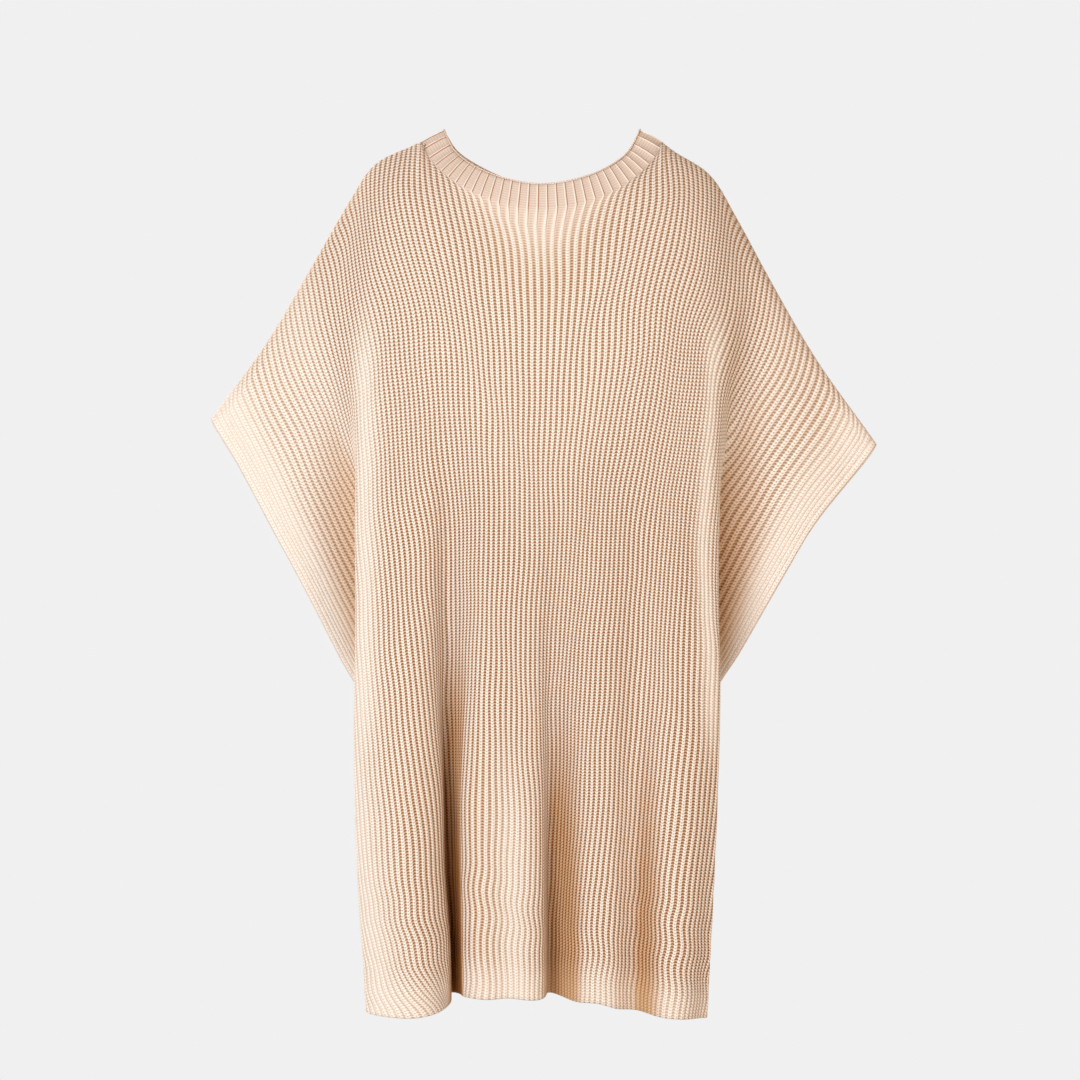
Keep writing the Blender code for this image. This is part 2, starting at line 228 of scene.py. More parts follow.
FRONT_FOLDS = (
    Fold(-27.5, 0.45, 6.5, 5.5, -12.0, 0.0, 0.0, -2.0),
    Fold(-19.6, 0.26, 3.8, 6.0, 74.0, 12.0, 0.0, 8.0),
    Fold(-13.0, 0.40, 3.6, 4.0, -4.0, 0.0, 0.0, 6.0),
    Fold(-5.3, 0.34, 6.5, 6.5, 20.0, 0.0, 0.0, 11.0),
    Fold(3.6, 0.36, 3.6, 6.0, 54.0, 9.0, 0.0, 9.0),
    Fold(13.3, 0.48, 4.8, 4.2, 12.0, 0.0, 0.0, 8.0),
    Fold(21.3, 0.38, 4.8, 4.2, 34.0, 2.0, 0.0, 2.0),
    Fold(29.8, 0.50, 4.2, 4.2, -9.0, 0.0, 0.0, 2.0),
    Fold(34.0, 0.50, 2.6, 2.6, 8.0),
)
BACK_FOLDS = (
    Fold(-26.5, 0.36, 4.8, 5.4, 46.0, 5.0, 1.0, 4.0),
    Fold(-11.0, 0.22, 6.0, 7.2, 84.0, 9.0, 3.0, 10.0),
    Fold(3.5, 0.54, 4.4, 4.4, 20.0, 0.0, 0.0, 4.0),
    Fold(15.5, 0.30, 6.6, 5.4, 68.0, 3.0, 9.0, 8.0),
    Fold(30.5, 0.46, 4.6, 4.0, 34.0, 2.0, 4.0, 3.0),
)
LEFT_TURN = Fold(41.0, 0.03, 5.0, 5.0, 14.0, 4.0, 6.0)
CREST_SWING = Swing(-27.5, 7.0, 0.86, 0.10, 9.0)


# ---------------------------------------------------------------- curves and arrays
def slopes(keys: np.ndarray, values: np.ndarray) -> np.ndarray:
    """Return the slope at each key of a smooth curve through the values, by central differences.

    Args:
        keys: Where the values stand, rising.
        values: One row of numbers for each key.

    Returns:
        One row of slopes for each key.
    """
    steps = np.diff(keys)[:, None]
    rises = np.diff(values, axis=0) / steps
    inner = (rises[:-1] * steps[1:] + rises[1:] * steps[:-1]) / (steps[1:] + steps[:-1])
    return np.vstack([rises[:1], inner, rises[-1:]])


def smooth(keys: np.ndarray, values: np.ndarray, at: np.ndarray,
           tangents: np.ndarray | None = None) -> np.ndarray:
    """Evaluate the cubic curve that passes through every value with the given slope there.

    Args:
        keys: Where the values stand, rising.
        values: One row of numbers for each key.
        at: The places to evaluate.
        tangents: The slopes at the keys; central differences where none are given.

    Returns:
        One row of numbers for each place.
    """
    keys = np.asarray(keys, float)
    values = np.asarray(values, float)
    tangents = slopes(keys, values) if tangents is None else tangents
    low = np.clip(np.searchsorted(keys, at, side="right") - 1, 0, len(keys) - 2)
    span = keys[low + 1] - keys[low]
    u = ((at - keys[low]) / span)[:, None]
    span = span[:, None]
    return (values[low] * (2 * u**3 - 3 * u**2 + 1) + values[low + 1] * (3 * u**2 - 2 * u**3)
            + tangents[low] * span * (u**3 - 2 * u**2 + u) + tangents[low + 1] * span * (u**3 - u**2))


def ease(value: np.ndarray | float) -> np.ndarray | float:
    """Return 0 below 0, 1 above 1, and a smooth rise between."""
    value = np.clip(value, 0.0, 1.0)
    return value * value * (3.0 - 2.0 * value)


def ramp(value: np.ndarray | float, over: Range) -> np.ndarray | float:
    """Return a smooth change from 0 at a range's first end to 1 at its second, which may be the lower."""
    return ease((value - over[0]) / (over[1] - over[0]))


def bell(value: np.ndarray | float) -> np.ndarray | float:
    """Return a smooth hump, 1 at 0 and about 0 beyond 2 on both sides."""
    return np.exp(-(value ** 2))


def unit(vectors: np.ndarray) -> np.ndarray:
    """Return the vectors of the last axis at length 1."""
    return vectors / np.maximum(np.linalg.norm(vectors, axis=-1, keepdims=True), 1e-9)


def read_line(place: np.ndarray, keys: np.ndarray, points: np.ndarray) -> np.ndarray:
    """Return the points, or directions, of a line at places along it, by linear interpolation."""
    return np.stack([np.interp(place, keys, points[:, axis]) for axis in range(3)], -1)


def both_sides(table: tuple) -> tuple[np.ndarray, np.ndarray]:
    """Mirror a half table over the middle.

    Args:
        table: Rows of a rib and a point, from the middle out.

    Returns:
        The ribs from the right to the left, and their points.
    """
    ribs = np.array([row[0] for row in table], float)
    points = np.array([row[1] for row in table], float)
    beside = ribs > 0
    mirrored = points[beside] * (-1, 1, 1)
    return np.concatenate([-ribs[beside][::-1], ribs]), np.vstack([mirrored[::-1], points])


# ---------------------------------------------------------------- the worn form
@dataclass
class WornForm:
    """The garment's outer surface, as a function of the rib and of the part of the way down it.

    It is the surface of the frame's solids before they were cut into flat strips, so what is built on it
    lies where they lie.
    """

    fine_step: int = 8              # fine ribs to each rib
    fine: np.ndarray = field(init=False)

    def __post_init__(self) -> None:
        """Number the fine ribs from the wearer's right to the left."""
        self.fine = np.linspace(-RIBS, RIBS, 2 * RIBS * self.fine_step + 1)

    def neck_line(self, table: tuple, ribs: np.ndarray) -> np.ndarray:
        """Run a line round half the neck, which crosses the shoulder seam squarely at both ends.

        Args:
            table: Half of the line, as rows of a rib and a point.
            ribs: The ribs to evaluate.

        Returns:
            One point for each rib.
        """
        keys, points = both_sides(table)
        tangents = slopes(keys, points)
        reach = np.linalg.norm(points[-1] - points[-2]) / (keys[-1] - keys[-2])
        back = np.sign(points[-1, 1] - points[-2, 1]) * reach
        tangents[-1] = (0.0, back, 0.0)
        tangents[0] = (0.0, -back, 0.0)
        return smooth(keys, points, ribs, tangents)

    def top_edge(self, side: Side, ribs: np.ndarray) -> np.ndarray:
        """Run along a panel's top edge: the neck seam between the high points, and the shoulder seams.

        Args:
            side: Front or back.
            ribs: The ribs to evaluate.

        Returns:
            One point for each rib.
        """
        keys, points = both_sides(SHOULDER_SEAM)
        edge = smooth(keys, points, ribs)
        neck = np.abs(ribs) <= NECK_RIB
        table = NECK_SEAM if side is Side.FRONT else BACK_NECK_SEAM
        edge[neck] = self.neck_line(table + SHOULDER_SEAM[:1], ribs[neck])
        outward = np.abs(ribs)
        edge[:, 2] -= SHOULDER_DIP * bell((outward - DIP_RIB) / DIP_REACH)
        edge[:, 0] += 0.5 * SHOULDER_DIP * np.sign(ribs) * bell((outward - NECK_RIB) / NECK_FLARE)
        return edge

    def section(self, section: Section) -> np.ndarray:
        """Run one section across the front. Below the armhole its ends meet the side seam squarely.

        Args:
            section: Where six ribs of a half panel lie.

        Returns:
            One point for each fine rib.
        """
        keys, points = both_sides(tuple(zip(FORM_RIBS, section.points())))
        tangents = slopes(keys, points)
        if section.down >= ARMHOLE:
            reach = SIDE_FULLNESS * np.linalg.norm(points[-1] - points[-2]) / (keys[-1] - keys[-2])
            tangents[-1] = (0.0, reach, 0.0)
            tangents[0] = (0.0, -reach, 0.0)
        return smooth(keys, points, self.fine, tangents)

    def smooth_form(self, downs: np.ndarray) -> np.ndarray:
        """Lay out the front before its folds: a cubic surface through the top edge and the sections.

        Args:
            downs: Parts of the way down.

        Returns:
            Points, [down, rib].
        """
        rows = np.array([self.top_edge(Side.FRONT, self.fine)] + [self.section(row) for row in FORM])
        keys = np.array([0.0] + [row.down for row in FORM])
        flat = rows.reshape(len(keys), -1)
        tangents = slopes(keys, flat).reshape(rows.shape)
        over = ease((np.abs(self.fine) - NECK_RIB) / NECK_CORNER + 1.0)[:, None]
        reach = SHOULDER_FULLNESS * np.linalg.norm(rows[1] - rows[0], axis=1, keepdims=True) / keys[1]
        tangents[0] = tangents[0] * (1 - over) + over * reach * (0.0, -1.0, 0.0)
        grid = smooth(keys, flat, downs, tangents.reshape(len(keys), -1))
        return grid.reshape(len(downs), len(self.fine), 3)

    def hang(self, grid: np.ndarray, ribs: np.ndarray, downs: np.ndarray) -> np.ndarray:
        """Shift the form for the way it hangs: sleeves, armholes and hem differ from side to side.

        Args:
            grid: Points, [down, rib], which are moved.
            ribs: Their ribs.
            downs: Their parts of the way down.

        Returns:
            The same grid.
        """
        side = ribs / RIBS
        down = downs[:, None]
        outward = np.clip((np.abs(ribs) - NECK_RIB) / (RIBS - NECK_RIB), 0.0, 1.0)
        shoulder = ease(1 - down / SHOULDER_END)
        grid[..., 2] -= SLEEVE_LEAN * np.sign(ribs) * outward**LEAN_SPREAD * shoulder
        grid[..., 0] += LEFT_REACH * (ribs > 0) * ease(2 * outward - 1) * shoulder
        grid[..., 2] += ARMHOLE_LEAN * side * bell((down - ARMHOLE) / SHOULDER_END)
        grid[..., 2] -= HEM_TILT * side * down**2
        grid[..., 0] -= SWAY * ease(down / SWAY_FULL) * (1 - SIDE_STAY * np.abs(side))
        return grid

    def press(self, grid: np.ndarray, fold: Fold, growth: np.ndarray, inward: float,
              downs: np.ndarray) -> None:
        """Press one fold into the form: a bell across the ribs, whose walls may hang over it.

        Args:
            grid: Points, [down, fine rib], which are moved.
            fold: The fold.
            growth: How far it has grown at each row, from 0 to 1.
            inward: The direction in y that presses it in.
            downs: Parts of the way down.
        """
        beside = self.fine - fold.rib
        shape = bell(beside / np.where(beside < 0, fold.right_wall, fold.left_wall))
        right = bell((beside / fold.right_wall + 1.0) / WALL_REACH)
        left = bell((beside / fold.left_wall - 1.0) / WALL_REACH)
        grid[..., 1] += inward * fold.depth * growth * shape
        grid[..., 0] += growth * (fold.right_over * right - fold.left_over * left)
        grid[..., 2] += fold.lift * shape * ease((downs[:, None] - LIFT_FROM) / (1.0 - LIFT_FROM))

    def add_folds(self, grid: np.ndarray, side: Side, downs: np.ndarray) -> np.ndarray:
        """Press a panel's folds into it. Each starts at its own height and deepens towards the hem.

        Args:
            grid: Points, [down, fine rib], which are moved.
            side: Front or back.
            downs: Parts of the way down.

        Returns:
            The same grid.
        """
        down = downs[:, None]
        if side is Side.FRONT:
            early = ease((down - LEFT_TURN.start) / LEFT_TURN_FULL)
            early = early * ease((LEFT_TURN_END - down) / LEFT_TURN_FADE)
            self.press(grid, LEFT_TURN, early, 1.0, downs)
        for fold in FRONT_FOLDS if side is Side.FRONT else BACK_FOLDS:
            growth = ease((down - fold.start) / (FOLD_FULL - fold.start)) ** FOLD_POWER
            self.press(grid, fold, growth, side.hand, downs)
        if side is Side.FRONT:
            swing = CREST_SWING
            crest = bell((self.fine - swing.rib) / swing.reach)
            grid[..., 0] += swing.side * crest * ease((down - swing.start) / swing.full)
        return grid

    def spread(self, grid: np.ndarray, downs: np.ndarray) -> np.ndarray:
        """Share the ribs out evenly below the chest, each half for itself, by distance square to them.

        Args:
            grid: Points, [down, fine rib], which are moved.
            downs: Parts of the way down.

        Returns:
            The same grid.
        """
        share = ease(downs / EVEN_FROM)
        along = unit(np.gradient(grid, downs, axis=0))
        middle = len(self.fine) // 2
        for row, direction, even in zip(grid, along, share):
            step = np.linalg.norm(np.cross(np.diff(row, axis=0), direction[:-1]), axis=1)
            length = np.concatenate([[0.0], np.cumsum(step)])
            length -= length[middle]
            place = np.where(length < 0, length / -length[0], length / length[-1]) * RIBS
            knitted = even * place + (1 - even) * self.fine
            row[:] = read_line(self.fine, knitted, row)
        return grid

    def band_rails(self, side: Side, ribs: np.ndarray) -> tuple[np.ndarray, np.ndarray]:
        """Run along the neckband's two edges.

        Args:
            side: Front or back.
            ribs: The ribs to evaluate.

        Returns:
            The points of the neck seam and those of the free neckline.
        """
        table = FRONT_NECKLINE if side is Side.FRONT else BACK_NECKLINE
        free = self.neck_line(table, ribs)
        if side is Side.BACK:
            free[:, 2] += BACK_BAND_RISE * bell((ribs - BACK_RISE_RIB) / BACK_RISE_REACH)
        return self.top_edge(side, ribs), free

    def panel(self, side: Side, downs: np.ndarray) -> np.ndarray:
        """Return a panel's outer surface at every fine rib.

        Args:
            side: Front or back.
            downs: Parts of the way down; the second is the strip beside the top seam.

        Returns:
            Points in millimetres, [down, rib].
        """
        down = downs[:, None]
        grid = self.hang(self.smooth_form(downs), self.fine, downs)
        if side is Side.BACK:
            flatten = 1.0 - (1.0 - BACK_DEPTH) * ease((RIBS - np.abs(self.fine)) / BACK_SIDE)
            below = ease(down / FORM[0].down)
            grid[..., 1] *= -flatten * below - (1 - below)
            shift = self.top_edge(side, self.fine) - self.top_edge(Side.FRONT, self.fine) * (1, -1, 1)
            grid += shift * ((1 - down) ** BACK_NECK_FADE)[..., None]
        grid = self.spread(self.add_folds(grid, side, downs), downs)
        grid[0] = self.hang(self.top_edge(side, self.fine)[None], self.fine, downs[:1])[0]
        return self.square_seams(grid, side, downs)

    def square_seams(self, grid: np.ndarray, side: Side, downs: np.ndarray) -> np.ndarray:
        """Set the first strip beside the top seams square to them, and leave the seams' clearance.

        Args:
            grid: Points, [down, fine rib], which are moved.
            side: Front or back.
            downs: Parts of the way down.

        Returns:
            The same grid.
        """
        strip = side.value * SEAM_STRIP * np.array([0.0, 1.0, 0.0])
        clearance = side.value * SEAM_GAP / 2
        shoulder = np.abs(self.fine) >= NECK_RIB
        grid[0, shoulder, 1] = clearance
        grid[1, shoulder] = grid[0, shoulder] + strip
        neck = ~shoulder
        seam, free = self.band_rails(side, self.fine[neck])
        grid[1, neck] = grid[0, neck] - unit(free - seam) * SEAM_STRIP
        closed = downs >= ARMHOLE
        grid[closed, 0, 1] = clearance
        grid[closed, -1, 1] = clearance
        return grid


# ---------------------------------------------------------------- meshes from arrays
def mesh_object(name: str, points: np.ndarray, faces: list[np.ndarray], uv: np.ndarray,
                attributes: dict[str, np.ndarray] | None = None) -> bpy.types.Object:
    """Put whole arrays into a smooth mesh and link its object.

    Args:
        name: Name of the piece.
        points: One row of x, y and z in millimetres for each vertex.
        faces: Groups of faces of one size each, as rows of vertex numbers.
        uv: One row of u and v for each vertex.
        attributes: Further numbers for each vertex, by name.

    Returns:
        The piece, with its place in its mesh.
    """
    corners = np.concatenate([group.ravel() for group in faces])
    sizes = np.concatenate([np.full(len(group), group.shape[1]) for group in faces])
    starts = np.cumsum(sizes) - sizes
    mesh = bpy.data.meshes.new(name)
    mesh.vertices.add(len(points))
    mesh.vertices.foreach_set("co", (points * MM).astype(np.float32).ravel())
    mesh.loops.add(len(corners))
    mesh.loops.foreach_set("vertex_index", corners.astype(np.int32))
    mesh.polygons.add(len(sizes))
    mesh.polygons.foreach_set("loop_start", starts.astype(np.int32))
    layer = mesh.uv_layers.new(name=KNIT_UV)
    layer.uv.foreach_set("vector", uv[corners].astype(np.float32).ravel())
    for key, values in (attributes or {}).items():
        mesh.attributes.new(key, "FLOAT", "POINT").data.foreach_set("value", values.astype(np.float32))
    mesh.update(calc_edges=True)
    mesh.validate()
    mesh.shade_smooth()
    mesh.set_sharp_from_angle(angle=SHARP)
    piece = bpy.data.objects.new(name, mesh)
    bpy.context.scene.collection.objects.link(piece)
    return piece


def triangles(piece: bpy.types.Object) -> int:
    """Count the triangles of a piece.

    Args:
        piece: A mesh object.

    Returns:
        The number of its triangles.
    """
    sizes = np.zeros(len(piece.data.polygons), np.int32)
    piece.data.polygons.foreach_get("loop_total", sizes)
    return int((sizes - 2).sum())


def grid_faces(index: np.ndarray) -> np.ndarray:
    """Return the quads of a grid of vertex numbers, [down, along], that face away from its inner side."""
    return np.stack([index[:-1, :-1], index[1:, :-1], index[1:, 1:], index[:-1, 1:]], -1).reshape(-1, 4)


def around(index: np.ndarray) -> np.ndarray:
    """Return the border of a grid as one closed walk: down the left, along the bottom, up and back."""
    return np.concatenate([index[:-1, 0], index[-1, :-1], index[:0:-1, -1], index[0, :0:-1]])


@dataclass
class ClothWall:
    """A closed wall of cloth between an outer grid and a coarser inner one, with a rounded rim.

    The rim has one more row of points halfway through the wall, pushed out from the edge.
    """

    outer: np.ndarray               # points of the outer face, [down, column]
    inner: np.ndarray               # points of the inner face, with fewer columns
    roll: np.ndarray                # how far each point of the rim's middle row is pushed out
    outer_uv: np.ndarray
    inner_uv: np.ndarray
    outer_values: dict[str, np.ndarray]     # further numbers of the outer points, by name
    faces_front: bool

    def piece(self, name: str) -> bpy.types.Object:
        """Join the outer grid, the rim and the inner grid into one mesh.

        Args:
            name: Name of the piece.

        Returns:
            The closed piece.
        """
        rows, columns = self.outer.shape[:2]
        ratio = (columns - 1) // (self.inner.shape[1] - 1)
        out = np.arange(rows * columns).reshape(rows, columns)
        ins = out.size + np.arange(rows * self.inner.shape[1]).reshape(rows, -1)
        nearest = ins[:, (np.arange(columns) + ratio // 2) // ratio]
        edge, back = around(out), around(nearest)
        middle = out.size + ins.size + np.arange(len(edge))
        flat = np.concatenate([self.outer.reshape(-1, 3), self.inner.reshape(-1, 3)])
        rim = (flat[edge] + flat[back]) / 2 + self.roll
        step = np.roll(middle, -1)
        edge_step, back_step = np.roll(edge, -1), np.roll(back, -1)
        wide = back != back_step
        faces = [
            grid_faces(out),
            grid_faces(ins)[:, ::-1],
            np.stack([edge_step, edge, middle, step], -1),
            np.stack([step, middle, back, back_step], -1)[wide],
            np.stack([step, middle, back], -1)[~wide],
        ]
        if not self.faces_front:
            faces = [group[:, ::-1] for group in faces]
        uv = np.concatenate([self.outer_uv.reshape(-1, 2), self.inner_uv.reshape(-1, 2)])
        uv = np.concatenate([uv, uv[edge]])
        values = {}
        for key, value in self.outer_values.items():
            both = np.concatenate([value.ravel(), value[:, ::ratio].ravel()])
            values[key] = np.concatenate([both, both[edge]])
        return mesh_object(name, np.concatenate([flat, rim]), faces, uv, values)


@dataclass(frozen=True)
class Ripple:
    """A soft unevenness of the ribs: how far they stray, and over which lengths it changes."""

    reach: float                    # in ribs
    across: float                   # length of a wave across the ribs, in ribs
    along: float                    # length of a wave along them, in millimetres
    seed: int

    def at(self, ribs: np.ndarray, lengths: np.ndarray) -> np.ndarray:
        """Add up plane waves of random lie, phase and length.

        Args:
            ribs: Ribs.
            lengths: Lengths down them, in millimetres.

        Returns:
            The stray at each, in ribs.
        """
        draw = np.random.default_rng(self.seed)
        turns = draw.uniform(-1, 1, WAVES)
        phases = draw.uniform(0, 2 * np.pi, WAVES)
        sizes = draw.uniform(0.7, 1.5, WAVES)
        total = np.zeros(np.broadcast(ribs, lengths).shape)
        for turn, phase, size in zip(turns, phases, sizes):
            wave = ribs / (self.across * size) * turn + lengths / (self.along * size)
            total += np.sin(2 * np.pi * wave + phase)
        return self.reach * total / 2.0


@dataclass(frozen=True)
class RibProfile:
    """Cross-section of one rib: two half widths of its knit column, and the heights at its corners."""

    cord: float                     # half width of the column's round top
    foot: float                     # half width of the column at its foot
    crest: float                    # height of its middle
    shoulder: float                 # height at the edge of the round top
    valley: float                   # height at the foot
    furrow: float                   # height halfway to the next column

    share = np.array([0.0, 0.2, 0.3, 0.5, 0.7, 0.8])    # where the corners lie in the knit map's u

    def offsets(self) -> np.ndarray:
        """Return where the profile's corners lie beside the crest, in half widths of the column."""
        return np.array([0.0, -self.foot, -self.cord, 0.0, self.cord, self.foot])

    def heights(self) -> np.ndarray:
        """Return the heights of the profile's corners, from one furrow over the column."""
        return np.array([self.furrow, self.valley, self.shoulder, self.crest, self.shoulder, self.valley])

    @classmethod
    def count(cls, ribs: int) -> np.ndarray:
        """Return the knit map's u at every corner of a number of ribs: the column has a fixed share."""
        return np.append((np.arange(ribs)[:, None] + cls.share).ravel(), ribs)


BODY_RIB = RibProfile(1.35, 1.8, 0.5, 0.34, 0.0, -0.1)
BAND_RIB = RibProfile(0.55, 1.2, 0.7, 0.35, -0.15, 0.0)     # a thin ridge in flat knit


@dataclass(frozen=True)
class Patch:
    """A soft-edged patch of a panel in which something grows: a bell across the ribs, between heights."""

    amount: float
    rib: float
    reach: float                    # ribs over which it falls off
    start: Range = (-2.0, -1.0)     # parts of the way down over which it grows
    end: Range = (3.0, 2.0)         # parts of the way down over which it dies out, from the lower up

    def at(self, ribs: np.ndarray, down: np.ndarray) -> np.ndarray:
        """Return its amount at each rib and part of the way down."""
        across = self.amount * bell((ribs - self.rib) / self.reach)
        return across * ramp(down, self.start) * ramp(down, self.end)


@dataclass(frozen=True)
class StitchHeight:
    """Height of a stitch, in millimetres: low below the neckband, drawn long where weight hangs on it."""

    rest: float = 3.0
    drawn: float = 0.2              # more on the chest
    chest: float = 0.25             # part of the way down to the chest
    chest_reach: float = 0.17
    neck: Patch = Patch(-0.4, 0.0, 6.0, end=(0.17, 0.02))
    beside_neck: Patch = Patch(0.4, 11.0, 5.0, end=(0.22, 0.10))
    shoulder: float = 0.5           # more on the shoulders and sleeves
    shoulder_ribs: Range = (6.0, 20.0)
    shoulder_downs: Range = (0.55, 0.20)

    def at(self, ribs: np.ndarray, down: np.ndarray) -> np.ndarray:
        """Add up the height of a stitch.

        Args:
            ribs: Ribs, [down, column].
            down: Parts of the way down, as a column.

        Returns:
            The height at each.
        """
        outward = np.abs(ribs)
        chest = self.drawn * bell((down - self.chest) / self.chest_reach)
        shoulder = self.shoulder * ramp(outward, self.shoulder_ribs) * ramp(down, self.shoulder_downs)
        neck = self.beside_neck.at(outward, down) + self.neck.at(ribs, down)
        return self.rest + chest + shoulder + neck


@dataclass(frozen=True)
class Straying:
    """How far each rib of a panel strays sideways, in ribs."""

    waves: tuple[Ripple, ...] = (Ripple(0.16, 30.0, 260.0, 3), Ripple(0.07, 12.0, 95.0, 4))
    hem_wave: Ripple = Ripple(0.2, 40.0, 44.0, 5)
    hem: Range = (0.84, 0.94)       # parts of the way down over which the hem's own wave sets in
    hem_corner: Patch = Patch(4.6, -37.0, 8.0, (0.95, 1.0))     # the front's ribs run askew there
    cuff: Range = (ARMHOLE + 0.05, ARMHOLE)     # parts of the way down over which the open edge ends
    cuff_calm: float = 0.7          # share of the waves that an open sleeve edge takes away
    cuff_calm_ribs: Range = (12.0, 4.0)
    cuff_crowding: float = 1.3      # how far the ribs crowd towards that edge
    cuff_crowding_rib: float = 6.0  # and how many ribs from it they do most
    left_sleeve: Patch = Patch(-2.6, 48.0, 9.0, (0.04, 0.34))
    left_armhole: Patch = Patch(-1.6, 32.0, 6.0, (0.04, 0.24))
    left_body: Patch = Patch(-2.0, 16.0, 14.0, (0.24, 0.64))
    side: Range = (0.0, 5.0)        # ribs from the outer edge over which they begin to stray
    seam: Range = (0.0, 0.03)       # parts of the way down over which they do

    def at(self, side: Side, ribs: np.ndarray, down: np.ndarray) -> np.ndarray:
        """Add up how far the ribs stray. The outer edges stay where they are.

        Args:
            side: Front or back.
            ribs: Ribs, [down, column].
            down: Parts of the way down, as a column.

        Returns:
            The stray of each.
        """
        length = down * RIB_LENGTH
        edge = RIBS - np.abs(ribs)
        open_edge = ramp(down, self.cuff)
        total = sum(wave.at(ribs, length) for wave in self.waves)
        total = total + self.hem_wave.at(ribs, length) * ramp(down, self.hem)
        if side is Side.FRONT:
            total = total + self.hem_corner.at(ribs, down)
        total = total * (1 - self.cuff_calm * open_edge * ramp(edge, self.cuff_calm_ribs))
        crowd = bell((edge - self.cuff_crowding_rib) / self.cuff_crowding_rib)
        total = total + self.cuff_crowding * np.sign(ribs) * open_edge * crowd
        total = total + self.left_sleeve.at(ribs, down) * open_edge
        total = total + self.left_armhole.at(ribs, down) + self.left_body.at(ribs, down)
        return total * ramp(edge, self.side) * ramp(down, self.seam)


@dataclass(frozen=True)
class FurrowHoles:
    """How open the ladder of holes in a panel's furrows is: 0 where the knit, or a painted highlight, shuts
    it, up to 1.
    """

    cuff: Range = (ARMHOLE + 0.08, ARMHOLE)     # parts of the way down over which the open edge ends
    cuff_ribs: Range = (9.5, 2.5)   # ribs from that edge over which the holes close
    right_sleeve: float = 0.4       # how far they close on each sleeve
    left_sleeve: float = 0.25
    sleeve_ribs: Range = (38.0, 46.0)
    neck: Patch = Patch(0.5, 0.0, 7.0, end=(0.11, 0.02))
    corner: Patch = Patch(0.4, 16.0, 3.0, end=(0.05, 0.0))
    upper: float = 0.88             # how open they are above the waist
    waist: Range = (0.3, 0.5)
    hem: float = 0.6                # how far they close at the hem
    hem_downs: Range = (0.95, 0.99)
    # painted highlight: the next three shut the holes on the front's lit flank, crest and body edges
    flank_highlight: Patch = Patch(0.95, -43.5, 5.5, (0.50, 0.75))
    crest: Patch = Patch(0.6, -5.5, 3.5, (0.65, 0.85))
    body_edge_highlight: float = 0.85         # painted highlight: how far they close along the bright crest at each body edge
    body_start: Range = (0.12, 0.22)
    body_end: Range = (0.74, 0.64)
    right_rib: float = -35.5        # ribs of the two crests
    left_rib: float = 33.5
    right_reach: float = 3.2
    left_reach: float = 2.3
    spreading: float = 12.0         # ribs by which the crests would spread over the whole way down
    spread_from: float = 0.31       # part of the way down at which they lie at those ribs

    def at(self, side: Side, ribs: np.ndarray, down: np.ndarray) -> np.ndarray:
        """Multiply what is left open by each of the things that close the holes, painted highlights among
        them.

        Args:
            side: Front or back. Only the front has the folds of the last five.
            ribs: Ribs, [down, column].
            down: Parts of the way down, as a column.

        Returns:
            How open they are at each.
        """
        outward = np.abs(ribs)
        right = ribs < 0
        open_edge = ramp(down, self.cuff)
        closing = np.where(right, self.right_sleeve, self.left_sleeve)
        left_open = 1 - open_edge * ramp(RIBS - outward, self.cuff_ribs)
        left_open = left_open * (1 - closing * open_edge * ramp(outward, self.sleeve_ribs))
        left_open = left_open * (1 - self.neck.at(ribs, down)) * (1 - self.corner.at(outward, down))
        left_open = left_open * (1 - self.hem * ramp(down, self.hem_downs))
        left_open = left_open * (self.upper + (1 - self.upper) * ramp(down, self.waist))
        if side is Side.BACK:
            return left_open
        # painted highlight: shut holes make the knit lighter along the front's lit flank, crest and body
        # edges
        edge = np.where(right, self.right_rib, self.left_rib)
        edge = edge + np.sign(ribs) * self.spreading * (down - self.spread_from)
        body = bell((ribs - edge) / np.where(right, self.right_reach, self.left_reach))
        body = self.body_edge_highlight * body * ramp(down, self.body_start) * ramp(down, self.body_end)
        crests = np.maximum(1 - self.crest.at(ribs, down) - body, 0.0)
        return left_open * (1 - self.flank_highlight.at(ribs, down)) * crests


